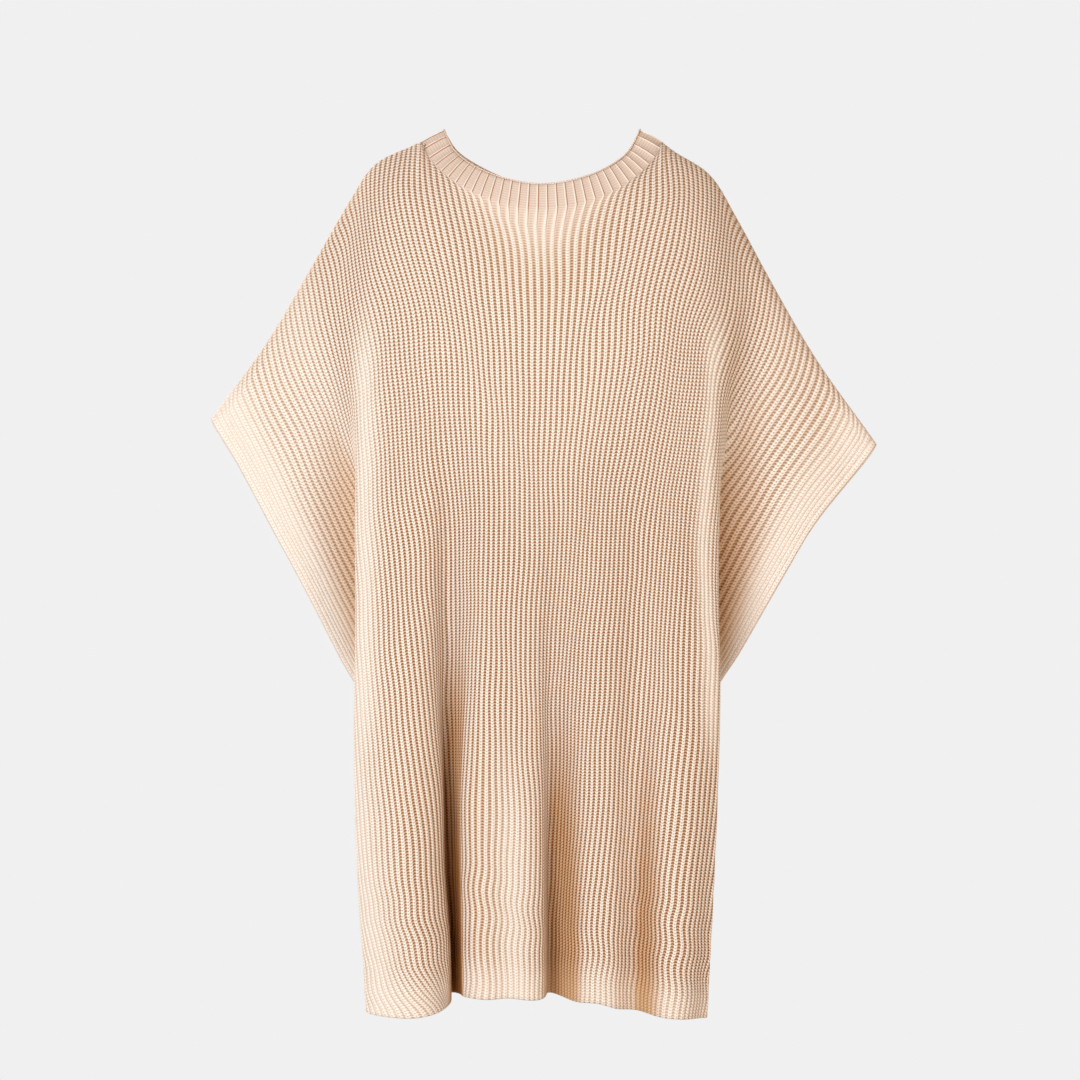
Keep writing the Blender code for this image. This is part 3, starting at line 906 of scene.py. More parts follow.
@dataclass(frozen=True)
class PaintedHollowShade:
    """How much of the sky the folds beside each point of a panel hide: a hollow gets warm painted shade.

    In a level cut, the cloth beside a point rises to its horizon. What lies between the cloth's own slope
    and that horizon is hidden. It tells most on the left hand of someone who faces the panel, because the
    light is there.
    """

    look: range = range(3, 123, 4)  # fine steps at which the cloth beside a point is looked at
    away: float = 0.4               # share of what is hidden on the hand away from the light
    away_sleeve: float = 0.38       # and more of it on the wearer's right sleeve
    lit: float = 0.9                # share that the lit wall beside the deepest fold loses
    lit_start: Range = (-15.5, -13.0)
    lit_end: Range = (-6.0, -9.0)
    back: float = 0.6               # share of it all on the back
    blur: int = 7                   # fine steps over which it is evened out
    body_downs: Range = (0.36, 0.98)
    body_ribs: Range = (54.0, 44.0)
    sleeve_downs: Range = (ARMHOLE + 0.03, ARMHOLE - 0.13)
    sleeve_ribs: Range = (41.0, 47.0)
    sleeve_most: float = 0.36       # what the painted shade of a sleeve's hollow nears
    sleeve_gain: float = 2.5

    def hidden(self, along: np.ndarray, out: np.ndarray) -> np.ndarray:
        """Measure the angle between the cloth's own slope and its horizon, on the hand of rising columns.

        Args:
            along: Each point's place in its level cut, [down, column].
            out: How far it stands out.

        Returns:
            The angle, as a share of a half turn.
        """
        slope = np.full(along.shape, -np.pi)
        horizon = slope.copy()
        for step in self.look:
            angle = np.arctan2(out[:, step:] - out[:, :-step], along[:, step:] - along[:, :-step])
            horizon[:, :-step] = np.maximum(horizon[:, :-step], angle)
            if step == self.look[0]:
                slope = horizon.copy()
        return (horizon - slope) / np.pi

    def at(self, side: Side, grid: np.ndarray, fine: np.ndarray, down: np.ndarray) -> np.ndarray:
        """Weigh what is hidden on both hands, even it out and fade it over the body and the sleeves.

        Args:
            side: Front or back.
            grid: Points of the panel, [down, fine rib].
            fine: The fine ribs.
            down: Parts of the way down, as a column.

        Returns:
            How deep in a hollow each point lies, from 0 to 1: the strength of its painted shade.
        """
        level, depth = grid[..., 0], grid[..., 1] * side.value
        right = self.hidden(level, depth)
        left = self.hidden(-level[:, ::-1], depth[:, ::-1])[:, ::-1]
        away, towards = (right, left) if side is Side.FRONT else (left, right)
        outward = np.abs(fine)
        sleeve = ramp(outward, self.sleeve_ribs) * ramp(down, self.sleeve_downs)
        body = ramp(down, self.body_downs) * ramp(outward, self.body_ribs)
        lit = self.lit * ramp(fine, self.lit_start) * ramp(fine, self.lit_end)
        both = towards * (1 - lit) + (self.away + self.away_sleeve * sleeve * (fine < 0)) * away
        if side is Side.BACK:
            both = both * self.back
        kernel = bell(np.linspace(-2, 2, self.blur))
        both = np.apply_along_axis(np.convolve, 1, both, kernel / kernel.sum(), mode="same")
        return np.maximum(both * body, self.sleeve_most * np.tanh(self.sleeve_gain * both * sleeve))


@dataclass
class KnitPanel:
    """Front or back panel: a ribbed wall whose knit columns keep their width while the furrows open."""

    side: Side
    form: WornForm
    rows: int = 92                  # rows of points from the top to the hem
    crowding: float = 0.30          # how much closer the rows lie at the hem than halfway down
    hem_strip: float = 1.5          # height of the last strip above the hem
    closest: float = 3.6            # ribs don't lie closer together than this
    inner_relief: float = 0.5       # height of the ribs on the inner face
    foreshortening: float = 0.4     # part of the depth that a stitch's height takes in
    roll: float = 1.0               # how far an open edge rounds out
    high_point: float = 0.8         # ribs beside the neck's high points where the two top rows lie flat
    band_edge: float = 6.0          # how far the band's own knit runs on below it at the high points
    band_middle: float = 64.0       # and further in the middle of the neck
    band_ribs: float = 7.5          # ribs over which that falls off
    band_full: float = 9.0          # how far below the band it starts to fade
    band_rest: float = 0.7          # what is left of it then
    cuff: Range = (ARMHOLE + 0.05, ARMHOLE)     # parts of the way down over which the open edge ends
    cuff_relief: float = 0.3        # how much flatter the ribs are beside that edge
    cuff_ribs: Range = (6.0, 1.0)   # ribs from it over which they are
    hem_relief: float = 0.4         # how much flatter they are at the hem
    hem_downs: Range = (0.985, 1.0)
    # where the corners of a rib lie beside its crest at the most, in ribs: the furrows never close
    narrowest: np.ndarray = field(default_factory=lambda: np.array([0.5, 0.3, 0.2, 0.0, 0.2, 0.3]))
    # how far the cloth is pushed sideways over the deepest fold from both sides, and by the left armhole
    tucks: tuple[Patch, ...] = (
        Patch(4.5, -25.5, 3.5, (0.62, 0.82)),
        Patch(-7.0, -13.5, 3.5, (0.62, 0.82)),
        Patch(-6.5, 37.0, 5.0, (0.12, 0.27), (0.62, 0.42)),
    )
    stitch: StitchHeight = StitchHeight()
    straying: Straying = Straying()
    holes: FurrowHoles = FurrowHoles()
    # painted shade of the hollows, which the material multiplies into the yarn's colour
    tint: PaintedHollowShade = PaintedHollowShade()

    @property
    def name(self) -> str:
        """Return the panel's name."""
        return f"{self.side.word}_panel_knit"

    def downs(self) -> np.ndarray:
        """Space the rows out, closer together towards the hem.

        Returns:
            Their parts of the way down, with one more beside the top seam and one above the hem.
        """
        part = np.linspace(0.0, 1.0, self.rows)
        even = part * (1 + self.crowding) - self.crowding * part**2
        return np.sort(np.concatenate([even, [SEAM_STRIP / RIB_LENGTH, 1 - self.hem_strip / RIB_LENGTH]]))

    def pitch(self, grid: np.ndarray, along: np.ndarray) -> np.ndarray:
        """Return the local distance from one rib to the next, square to the ribs."""
        steps = np.gradient(grid, self.form.fine, axis=1)
        return np.maximum(np.linalg.norm(np.cross(steps, along), axis=2), self.closest)

    def sample(self, grid: np.ndarray, ribs: np.ndarray) -> np.ndarray:
        """Read a fine grid at other ribs, row by row, by linear interpolation.

        Args:
            grid: Numbers or points, [down, fine rib].
            ribs: The ribs to read, [down, column].

        Returns:
            The numbers or points there.
        """
        place = np.clip((ribs + RIBS) * self.form.fine_step, 0, grid.shape[1] - 1.001)
        low = place.astype(int)
        part = place - low
        rows = np.arange(grid.shape[0])[:, None]
        if grid.ndim == 3:
            part = part[..., None]
        return grid[rows, low] * (1 - part) + grid[rows, low + 1] * part

    def banded(self, ribs: np.ndarray, down: np.ndarray) -> np.ndarray:
        """Work out how far the knit is still like the band's: only below the middle of the neck.

        Args:
            ribs: Ribs.
            down: Parts of the way down, as a column.

        Returns:
            From 0, where it is rib knit, to 1.
        """
        reach = self.band_edge + self.band_middle * bell(ribs / self.band_ribs)
        length = down * RIB_LENGTH
        fading = self.band_rest + (1 - self.band_rest) * ease(1 - length / self.band_full)
        return (np.abs(ribs) < NECK_RIB) * ease(1 - length / reach) * fading

    def columns(self, pitch: np.ndarray, down: np.ndarray) -> np.ndarray:
        """Place the wall's columns of points: six across each rib, at its profile's corners.

        Args:
            pitch: Distance from rib to rib, [down, fine rib].
            down: Parts of the way down, as a column.

        Returns:
            The rib of each column, [down, column].
        """
        rib = np.arange(-RIBS, RIBS) + 0.5
        local = self.sample(pitch, np.broadcast_to(rib, (len(pitch), len(rib))))[..., None]
        banded = self.banded(rib, down)[..., None]
        beside = (BODY_RIB.offsets() * (1 - banded) + BAND_RIB.offsets() * banded) / local
        beside = np.clip(beside, -self.narrowest, self.narrowest)
        beside[..., 0] = -0.5
        ribs = (rib[:, None] + beside).reshape(len(pitch), -1)
        return np.concatenate([ribs, np.full((len(pitch), 1), float(RIBS))], axis=1)

    def heights(self, down: np.ndarray) -> np.ndarray:
        """Lay the profile of the ribs over every column of points at every row.

        Args:
            down: Parts of the way down, as a column.

        Returns:
            Heights, [down, column].
        """
        banded = self.banded(np.arange(-RIBS, RIBS) + 0.5, down)[..., None]
        height = BODY_RIB.heights() * (1 - banded) + BAND_RIB.heights() * banded
        return np.concatenate([height.reshape(len(down), -1), height[:, :1, 0]], axis=1)

    def relief(self, ribs: np.ndarray, down: np.ndarray) -> np.ndarray:
        """Return the strength of the ribs: weaker beside the open sleeve edges and at the hem."""
        edge = ramp(down, self.cuff) * ramp(RIBS - np.abs(ribs), self.cuff_ribs)
        return (1 - self.cuff_relief * edge) * (1 - self.hem_relief * ramp(down, self.hem_downs))

    def rim_roll(self, points: np.ndarray, downs: np.ndarray) -> np.ndarray:
        """Push the rim's middle out all round, where the edge is open.

        Args:
            points: The outer face, [down, column].
            downs: Parts of the way down.

        Returns:
            The push at each point of the rim.
        """
        roll = (self.roll * (downs < ARMHOLE))[:, None]
        left = unit(points[:, 0] - points[:, 2]) * roll
        right = unit(points[:, -1] - points[:, -3]) * roll
        hem = unit(points[-1] - points[-3]) * self.roll
        hem[[0, -1], :2] = 0.0
        top = np.zeros_like(points[0])
        return np.concatenate([left[:-1], hem[:-1], right[:0:-1], top[:0:-1]])

    def stitches(self, places: np.ndarray, ribs: np.ndarray, down: np.ndarray) -> np.ndarray:
        """Count the stitches from the hem up, by the cloth's own length.

        Args:
            places: The wall's middle points, [down, column].
            ribs: Their ribs.
            down: Parts of the way down, as a column.

        Returns:
            The count at each.
        """
        steps = np.linalg.norm(np.diff(places, axis=0) * (1.0, self.foreshortening, 1.0), axis=2)
        steps = steps / self.stitch.at(ribs, down)[1:]
        length = np.concatenate([np.zeros((1, steps.shape[1])), np.cumsum(steps, axis=0)])
        return length[-1] - length

    def build(self) -> bpy.types.Object:
        """Build the panel.

        Returns:
            The closed, ribbed wall, with the stitches counted in its UV map.
        """
        downs = self.downs()
        down = downs[:, None]
        fine = self.form.fine
        grid = self.form.panel(self.side, downs)
        if self.side is Side.FRONT:
            grid[..., 0] += sum(tuck.at(fine, down) for tuck in self.tucks)
        along = unit(np.gradient(grid, downs, axis=0))
        normal = unit(np.cross(along, np.gradient(grid, fine, axis=1))) * self.side.hand
        pitch = self.pitch(grid, along)
        ribs = self.columns(pitch, down)
        ribs = np.clip(ribs + self.straying.at(self.side, ribs, down), -RIBS, RIBS)
        places = self.sample(grid, ribs)
        out = unit(self.sample(normal, ribs))
        out[0, :, 1] *= np.abs(ribs[0]) < NECK_RIB
        out[:2] *= 1 - bell((np.abs(ribs[:2]) - NECK_RIB) / self.high_point)[..., None]
        strength = self.relief(ribs, down)
        inside = (slice(None), slice(None, None, INNER_STEP))
        outer = places + out * (self.heights(down) * strength)[..., None]
        rises = np.where(np.arange(ribs[inside].shape[1]) % 2 == 0, -self.inner_relief, self.inner_relief)
        inner = places[inside] + out[inside] * (rises * strength[inside] - WALL)[..., None]
        seam = downs >= ARMHOLE
        for wall in (outer, inner):
            wall[seam, 0, 1] = places[seam, 0, 1]
            wall[seam, -1, 1] = places[seam, -1, 1]
        stitches = self.stitches(places, ribs, down)
        outer_uv = np.stack([np.broadcast_to(RibProfile.count(2 * RIBS), stitches.shape), stitches], -1)
        inner_count = 0.5 + 0.5 * np.arange(inner.shape[1])
        inner_uv = np.stack([np.broadcast_to(inner_count, inner.shape[:2]), stitches[inside]], -1)
        width = self.sample(pitch, ribs)
        values = {
            "furrow_open": self.holes.at(self.side, ribs, down),
            "banded": self.banded(ribs, down),
            "furrow_width": width - 2 * np.minimum(BODY_RIB.foot, self.narrowest[1] * width),
            # painted shade of the hollows: the material darkens and warms the colour by it
            "painted_hollow_shade": self.sample(self.tint.at(self.side, grid, fine, down), ribs),
        }
        wall = ClothWall(outer, inner, self.rim_roll(outer, downs), outer_uv, inner_uv, values,
                         self.side is Side.FRONT)
        return wall.piece(self.name)


@dataclass
class NeckBand:
    """Half of the neckband: flat knit with thin raised ridges square to the neckline."""

    side: Side
    form: WornForm
    rows: int = 9
    crown: float = 0.5              # how far the band bulges out halfway across
    stitch: float = 3.1             # height of a stitch
    roll: float = 1.2               # how far the neckline rounds out
    ridge_fall: float = 0.75        # how much flatter the ridges are at the neckline
    ridge_end: Range = (0.86, 1.0)  # parts of the way across the band over which they get so

    @property
    def name(self) -> str:
        """Return the band's name."""
        return f"neckband_{self.side.word}_knit"

    def build(self) -> bpy.types.Object:
        """Build the half band: straight lines from the neck seam to the neckline, crowned and ridged.

        Returns:
            The closed wall.
        """
        rib = np.arange(-NECK_RIB, NECK_RIB) + 0.5
        pitch = np.linalg.norm(np.gradient(self.form.band_rails(self.side, rib)[0], axis=0), axis=1)
        beside = BAND_RIB.offsets() / pitch[:, None]
        beside[:, 0] = -0.5
        ribs = np.append((rib[:, None] + beside).ravel(), NECK_RIB)
        seam, free = self.form.band_rails(self.side, ribs)
        rise = unit(free - seam)
        part = np.linspace(1.0, 0.0, self.rows)[:, None]
        places = seam + (free - seam) * part[..., None]
        along = np.broadcast_to(-rise, places.shape)
        out = unit(np.cross(along, np.gradient(places, ribs, axis=1))) * self.side.hand
        places = places + out * self.crown * np.sin(np.pi * part[..., None])
        heights = np.append(np.tile(BAND_RIB.heights(), len(rib)), BAND_RIB.furrow)
        strength = 1 - self.ridge_fall * ramp(part, self.ridge_end)
        outer = places + out * (heights * strength)[..., None]
        inner = (places - out * WALL)[:, ::INNER_STEP]
        for wall in (outer, inner):
            wall[:, [0, -1], 1] = self.side.value * SEAM_GAP / 2
        stitches = part * np.linalg.norm(free - seam, axis=1) / self.stitch
        uv = np.stack([np.broadcast_to(RibProfile.count(len(rib)), stitches.shape), stitches], -1)
        push = np.zeros(outer.shape)
        push[0] = rise * self.roll
        roll = push.reshape(-1, 3)[around(np.arange(stitches.size).reshape(stitches.shape))]
        wall = ClothWall(outer, inner, roll, uv, uv[:, ::INNER_STEP], {}, self.side is Side.FRONT)
        return wall.piece(self.name)


@dataclass(frozen=True)
class ChainStitch:
    """A row of linked stitches along a line. Each is a pair of slim legs that meet in a V."""

    name: str
    pitch: float = 3.1              # from one stitch to the next
    width: float = 2.4              # of the row
    thick: float = 0.62             # half thickness of a leg
    rings: int = 5                  # rings of points to a leg
    sides: int = 6                  # points to a ring
    overlap: float = 1.35           # length of a leg against the pitch
    gap: float = 0.2                # from the row's middle line to a leg's at its tip
    point: float = 0.7              # how far a leg's poles reach past its rings, in half thicknesses

    def leg_faces(self) -> tuple[np.ndarray, np.ndarray]:
        """Number the faces of one leg, whose points are its rings and then its two poles.

        Returns:
            The quads along the leg and the triangles round its poles.
        """
        index = np.arange(self.rings * self.sides).reshape(self.rings, self.sides)
        turned = np.roll(index, -1, axis=1)
        tail = np.full(self.sides, index.size)
        return (
            np.stack([index[:-1], turned[:-1], turned[1:], index[1:]], -1).reshape(-1, 4),
            np.concatenate([np.stack([tail, turned[0], index[0]], -1),
                            np.stack([tail + 1, index[-1], turned[-1]], -1)]),
        )

    def build(self, line: np.ndarray, up: np.ndarray) -> bpy.types.Object:
        """Lay the stitches along a line.

        A leg's middle runs from the outside of the row to its middle line, and its radius swells as the
        root of a half sine.

        Args:
            line: Points of the line, in millimetres.
            up: The way the row faces at each of them.

        Returns:
            All legs as one mesh.
        """
        steps = np.linalg.norm(np.diff(line, axis=0), axis=1)
        length = np.concatenate([[0.0], np.cumsum(steps)])
        count = int(length[-1] / self.pitch)
        start = (np.arange(count) * length[-1] / count)[:, None, None]
        part = (np.arange(self.rings) + 0.5) / self.rings
        place = np.clip(start + part * self.overlap * self.pitch, 0, length[-1])
        place = np.broadcast_to(place, (count, 2, self.rings))
        ahead = read_line(place, length[:-1] + steps / 2, np.diff(line, axis=0) / steps[:, None])
        beside = unit(np.cross(ahead, read_line(place, length, up)))
        facing = unit(np.cross(beside, ahead))
        hand = np.array([-1.0, 1.0])[None, :, None, None]
        lean = (self.width / 2 - self.thick) * (1 - part)[None, None, :, None] + self.gap
        middle = read_line(place, length, line) + beside * hand * lean
        turn = 2 * np.pi * np.arange(self.sides)[:, None] / self.sides
        radius = self.thick * np.sqrt(np.sin(np.pi * part))[:, None, None]
        ring = beside[..., None, :] * np.cos(turn) + facing[..., None, :] * np.sin(turn)
        body = middle[..., None, :] + ring * radius
        ends = ahead[..., [0, -1], :] * np.array([[-1.0], [1.0]])
        poles = middle[..., [0, -1], :] + ends * self.thick * self.point
        legs = np.concatenate([body.reshape(count * 2, -1, 3), poles.reshape(count * 2, 2, 3)], axis=1)
        each = (np.arange(count * 2) * legs.shape[1])[:, None, None]
        faces = [(group + each).reshape(-1, group.shape[1]) for group in self.leg_faces()]
        uv = np.zeros((legs.shape[0] * legs.shape[1], 2))
        uv[:, 1] = np.tile(np.append(np.repeat(part, self.sides), (0.0, 1.0)), count * 2)
        return mesh_object(self.name, legs.reshape(-1, 3), faces, uv)


# ---------------------------------------------------------------- materials
def colour(code: str) -> tuple[float, float, float, float]:
    """Turn a hex sRGB colour to linear values with full alpha.

    Args:
        code: The colour, as #RRGGBB.

    Returns:
        Its red, green and blue, and 1.
    """
    parts = [int(code[place:place + 2], 16) / 255 for place in (1, 3, 5)]
    linear = [part / 12.92 if part <= 0.04045 else ((part + 0.055) / 1.055) ** 2.4 for part in parts]
    return (*linear, 1.0)


def add_node(tree: bpy.types.NodeTree, kind: str, inputs: dict | None = None, output: int = 0,
             **settings: object) -> bpy.types.NodeSocket | None:
    """Add one node with its settings, values and links.

    By number, a Map Range node takes the value as 0, the range it comes from as 1 and 2, and the one it
    goes to as 3 and 4. A Mix node takes the share of the second as 0, and two numbers as 2 and 3 or two
    colours as 6 and 7.

    Args:
        tree: The node tree.
        kind: The node's type.
        inputs: Values or sockets for its inputs, by name or number.
        output: Number of the output that is wanted.
        **settings: The node's own properties.

    Returns:
        The wanted output, or nothing for a node without outputs.
    """
    node = tree.nodes.new(kind)
    for name, value in settings.items():
        setattr(node, name, value)
    for key, value in (inputs or {}).items():
        if isinstance(value, bpy.types.NodeSocket):
            tree.links.new(value, node.inputs[key])
        else:
            node.inputs[key].default_value = value
    return node.outputs[output] if node.outputs else None


@dataclass(frozen=True)
class YarnFinish:
    """Cotton-rich knitting yarn, several strands loosely plied: matt, soft and slightly hairy."""

    name: str
    yarn: str = "#EFE4D8"           # lit strands
    line: str = "#A87552"           # painted shade: fine furrow beside a ridge, and a strand where it dips under another
    roughness: float = 0.9
    specular: float = 0.12          # the hairs break up what the fibre would reflect
    sheen: float = 0.05
    sheen_roughness: float = 0.5

    def tree(self) -> tuple[bpy.types.Material, bpy.types.NodeTree]:
        """Start a material.

        Returns:
            The material and its empty node tree.
        """
        made = bpy.data.materials.new(self.name)
        made.use_nodes = True
        made.node_tree.nodes.clear()
        return made, made.node_tree

    def counts(self, tree: bpy.types.NodeTree) -> tuple[bpy.types.NodeSocket, bpy.types.NodeSocket]:
        """Add the piece's own knit map.

        Args:
            tree: The node tree.

        Returns:
            u, the count of ribs or ridges, and v, the count of stitches.
        """
        uv = add_node(tree, "ShaderNodeUVMap", uv_map=KNIT_UV)
        split = add_node(tree, "ShaderNodeSeparateXYZ", {0: uv})
        return split, split.node.outputs[1]

    def surface(self, tree: bpy.types.NodeTree, base: bpy.types.NodeSocket, height: bpy.types.NodeSocket,
                depth: float) -> None:
        """End a tree with the yarn's own shader.

        Args:
            tree: The node tree.
            base: Its colour.
            height: Height of the stitches, from 0 to 1.
            depth: What a height of 1 stands for, in millimetres.
        """
        bump = add_node(tree, "ShaderNodeBump", {"Height": height, "Distance": depth * MM, "Strength": 1.0})
        shader = add_node(tree, "ShaderNodeBsdfPrincipled", {
            "Base Color": base, "Normal": bump, "Roughness": self.roughness,
            "Specular IOR Level": self.specular, "Sheen Weight": self.sheen,
            "Sheen Roughness": self.sheen_roughness})
        add_node(tree, "ShaderNodeOutputMaterial", {"Surface": shader})


@dataclass(frozen=True)
class BandKnit(YarnFinish):
    """Firm neckband knit: smooth flat stretches between thin raised ridges, a painted-shadow furrow beside
    each.
    """

    flat: str = "#DDCCBD"           # flat knit of the band
    flat_low: str = "#CEB9A8"       # between its courses
    ridge_edge: Range = (0.2, 0.32)     # where a ridge rises beside the middle of a flat stretch, in ridges
    shadow_line_at: float = 0.78           # where the painted shadow line lies, as a part of u
    shadow_line_edge: Range = (0.075, 0.02)
    line_depth: float = 0.4
    course_edge: float = 0.4
    course_rise: float = 0.12
    flat_height: float = 0.5        # height between the courses
    bump_depth: float = 0.6         # what a height of 1 stands for, in millimetres

    def flat_knit(self, tree: bpy.types.NodeTree, u: bpy.types.NodeSocket, v: bpy.types.NodeSocket,
                  rise: bpy.types.NodeSocket) -> tuple[bpy.types.NodeSocket, bpy.types.NodeSocket]:
        """Add the flat knit: a ridge at every half u and, close after it, a dark line of painted shadow.

        Args:
            tree: The node tree.
            u: The count of ridges.
            v: The count of courses.
            rise: Distance of u from the middle of the flat stretch.

        Returns:
            The colour and the height.
        """
        low, high = self.ridge_edge
        ridge = add_node(tree, "ShaderNodeMapRange", {0: rise, 1: low, 2: high},
                         interpolation_type="SMOOTHSTEP")
        part = add_node(tree, "ShaderNodeMath", {0: u}, operation="FRACT")
        part = add_node(tree, "ShaderNodeMath", {0: part, 1: -self.shadow_line_at}, operation="ADD")
        part = add_node(tree, "ShaderNodeMath", {0: part}, operation="ABSOLUTE")
        low, high = self.shadow_line_edge
        line = add_node(tree, "ShaderNodeMapRange", {0: part, 1: low, 2: high},
                        interpolation_type="SMOOTHSTEP")
        course = add_node(tree, "ShaderNodeMath", {0: v, 1: 0.5}, operation="PINGPONG")
        course = add_node(tree, "ShaderNodeMapRange", {0: course, 2: self.course_edge})
        base = colour(self.flat_low)
        # the dark line beside each ridge is painted shadow
        for amount, tint in ((course, self.flat), (ridge, self.yarn), (line, self.line)):
            base = add_node(tree, "ShaderNodeMix", {0: amount, 6: base, 7: colour(tint)}, output=2,
                            data_type="RGBA")
        height = self.flat_height
        for amount, rises in ((course, self.course_rise), (line, -self.line_depth)):
            height = add_node(tree, "ShaderNodeMath", {0: amount, 1: rises, 2: height},
                              operation="MULTIPLY_ADD")
        return base, height

    def build(self) -> bpy.types.Material:
        """Make the material. u counts the ridges, at every half, and v counts the courses from the seam.

        Returns:
            The material.
        """
        made, tree = self.tree()
        u, v = self.counts(tree)
        rise = add_node(tree, "ShaderNodeMath", {0: u, 1: 0.5}, operation="PINGPONG")
        self.surface(tree, *self.flat_knit(tree, u, v, rise), self.bump_depth)
        return made


@dataclass(frozen=True)
class RibKnit(BandKnit):
    """Chunky rib knit: columns of V stitches between furrows with a ladder of small gaps."""

    valley: str = "#D6C3B0"         # painted shade between the strands
    dot: str = "#AC8462"            # where the two legs of a stitch cross
    bar: str = "#D6B99A"            # rungs between the holes
    closed: str = "#E6D6C8"         # furrows that the knit holds shut
    hole: str = "#8C5630"           # gaps in the furrows, where the shaded inside shows
    deep: str = "#E2C29C"           # painted shade in the depth of a fold
    deep_from: Range = (0.08, 0.38)     # depths over which it sets in
    deepest: str = "#D0AC78"        # further painted shade in a narrow fold
    deepest_from: Range = (0.45, 0.72)
    stitch: float = 3.1             # height of one stitch, in millimetres
    leg_edge: float = 0.32          # part of a stitch over which a leg rises from the valley beside it
    leg_fill: float = 0.5           # how far the valleys fill where the furrows are shut
    leg_rise: float = 0.3
    column_edge: Range = (0.16, 0.25)   # ribs from the furrow's middle over which a column rises
    column_grow: float = 0.12       # how much nearer the middle that is where the furrows are shut
    column_height: float = 0.7
    hole_wide: float = 1.45         # half width of a hole
    hole_high: float = 0.95         # half height of a hole
    hole_edge: Range = (1.15, 0.85)     # its soft edge, in its own radii
    hole_depth: float = 0.7
    dot_scale: Point = (10.0, 4.2, 0.0)     # half widths of a dot to a rib, and half heights to a stitch
    dot_edge: Range = (1.15, 0.7)   # its soft edge, in its own radii
    dot_marked: Range = (0.5, 0.8)  # how plain it is between shut furrows, and between open ones
    dot_depth: float = 0.3
    bump_depth: float = 0.5

    def gaps(self, tree: bpy.types.NodeTree, rise: bpy.types.NodeSocket, leg: bpy.types.NodeSocket,
             opened: bpy.types.NodeSocket) -> bpy.types.NodeSocket:
        """Add the holes: ellipses of a size in millimetres, whatever the width of the furrow.

        Args:
            tree: The node tree.
            rise: Distance of u from the middle of the furrow.
            leg: Distance of the leaning v from a whole number.
            opened: How open the holes are.

        Returns:
            1 in a hole.
        """
        # half a furrow's width lies on the share of u up to the column's foot
        scale = (0.5 / RibProfile.share[1] / self.hole_wide, self.stitch / self.hole_high, 0.0)
        width = add_node(tree, "ShaderNodeAttribute", output=2, attribute_name="furrow_width")
        beside = add_node(tree, "ShaderNodeMath", {0: rise, 1: width}, operation="MULTIPLY")
        place = add_node(tree, "ShaderNodeCombineXYZ", {0: beside, 1: leg})
        near = add_node(tree, "ShaderNodeVectorMath", {0: place, 1: scale}, operation="MULTIPLY")
        near = add_node(tree, "ShaderNodeVectorMath", {0: near}, output=1, operation="LENGTH")
        low, high = self.hole_edge
        hole = add_node(tree, "ShaderNodeMapRange", {0: near, 1: low, 2: high},
                        interpolation_type="SMOOTHSTEP")
        return add_node(tree, "ShaderNodeMath", {0: hole, 1: opened}, operation="MULTIPLY")

    def dots(self, tree: bpy.types.NodeTree, rise: bpy.types.NodeSocket, v: bpy.types.NodeSocket,
             opened: bpy.types.NodeSocket) -> bpy.types.NodeSocket:
        """Add the dots: an ellipse round every half u and half v, plainer where the furrows stand open.

        Args:
            tree: The node tree.
            rise: Distance of u from the middle of the furrow.
            v: The count of stitches.
            opened: How open the holes are.

        Returns:
            How far each place is a dot.
        """
        rung = add_node(tree, "ShaderNodeMath", {0: v, 1: 0.5}, operation="PINGPONG")
        cross = add_node(tree, "ShaderNodeCombineXYZ", {0: rise, 1: rung})
        cross = add_node(tree, "ShaderNodeVectorMath", {0: cross, 1: (-0.5, -0.5, 0.0)}, operation="ADD")
        cross = add_node(tree, "ShaderNodeVectorMath", {0: cross, 1: self.dot_scale}, operation="MULTIPLY")
        cross = add_node(tree, "ShaderNodeVectorMath", {0: cross}, output=1, operation="LENGTH")
        low, high = self.dot_edge
        dot = add_node(tree, "ShaderNodeMapRange", {0: cross, 1: low, 2: high},
                       interpolation_type="SMOOTHSTEP")
        faint, plain = self.dot_marked
        marked = add_node(tree, "ShaderNodeMapRange", {0: opened, 3: faint, 4: plain})
        return add_node(tree, "ShaderNodeMath", {0: dot, 1: marked}, operation="MULTIPLY")

    def build(self) -> bpy.types.Material:
        """Make the material.

        u counts the ribs, with a furrow at every whole number, and v counts the stitches. A leg is a wave
        of v that is pushed up with the distance from the crest, a hole is an ellipse round each whole u
        and v, and a dot, where two legs cross, is one round each half.

        Returns:
            The material.
        """
        made, tree = self.tree()
        u, v = self.counts(tree)
        rise = add_node(tree, "ShaderNodeMath", {0: u, 1: 0.5}, operation="PINGPONG")
        # furrow_open is also lowered where a highlight is painted by shutting the holes
        opened, banded, painted_hollow_shade = [add_node(tree, "ShaderNodeAttribute", output=2, attribute_name=name)
                                  for name in ("furrow_open", "banded", "painted_hollow_shade")]
        lean = add_node(tree, "ShaderNodeMath", {0: rise, 1: v}, operation="ADD")
        lean = add_node(tree, "ShaderNodeMath", {0: lean, 1: 0.5}, operation="PINGPONG")
        filled = add_node(tree, "ShaderNodeMapRange", {0: opened, 3: self.leg_fill, 4: 0.0})
        leg = add_node(tree, "ShaderNodeMapRange", {0: lean, 2: self.leg_edge, 3: filled},
                       interpolation_type="SMOOTHSTEP")
        shut = add_node(tree, "ShaderNodeMath", {0: opened, 1: -self.column_grow, 2: self.column_grow},
                        operation="MULTIPLY_ADD")
        column = add_node(tree, "ShaderNodeMath", {0: rise, 1: shut}, operation="ADD")
        low, high = self.column_edge
        column = add_node(tree, "ShaderNodeMapRange", {0: column, 1: low, 2: high},
                          interpolation_type="SMOOTHSTEP")
        hole = self.gaps(tree, rise, lean, opened)
        dot = self.dots(tree, rise, v, opened)
        flat, flat_height = self.flat_knit(tree, u, v, rise)
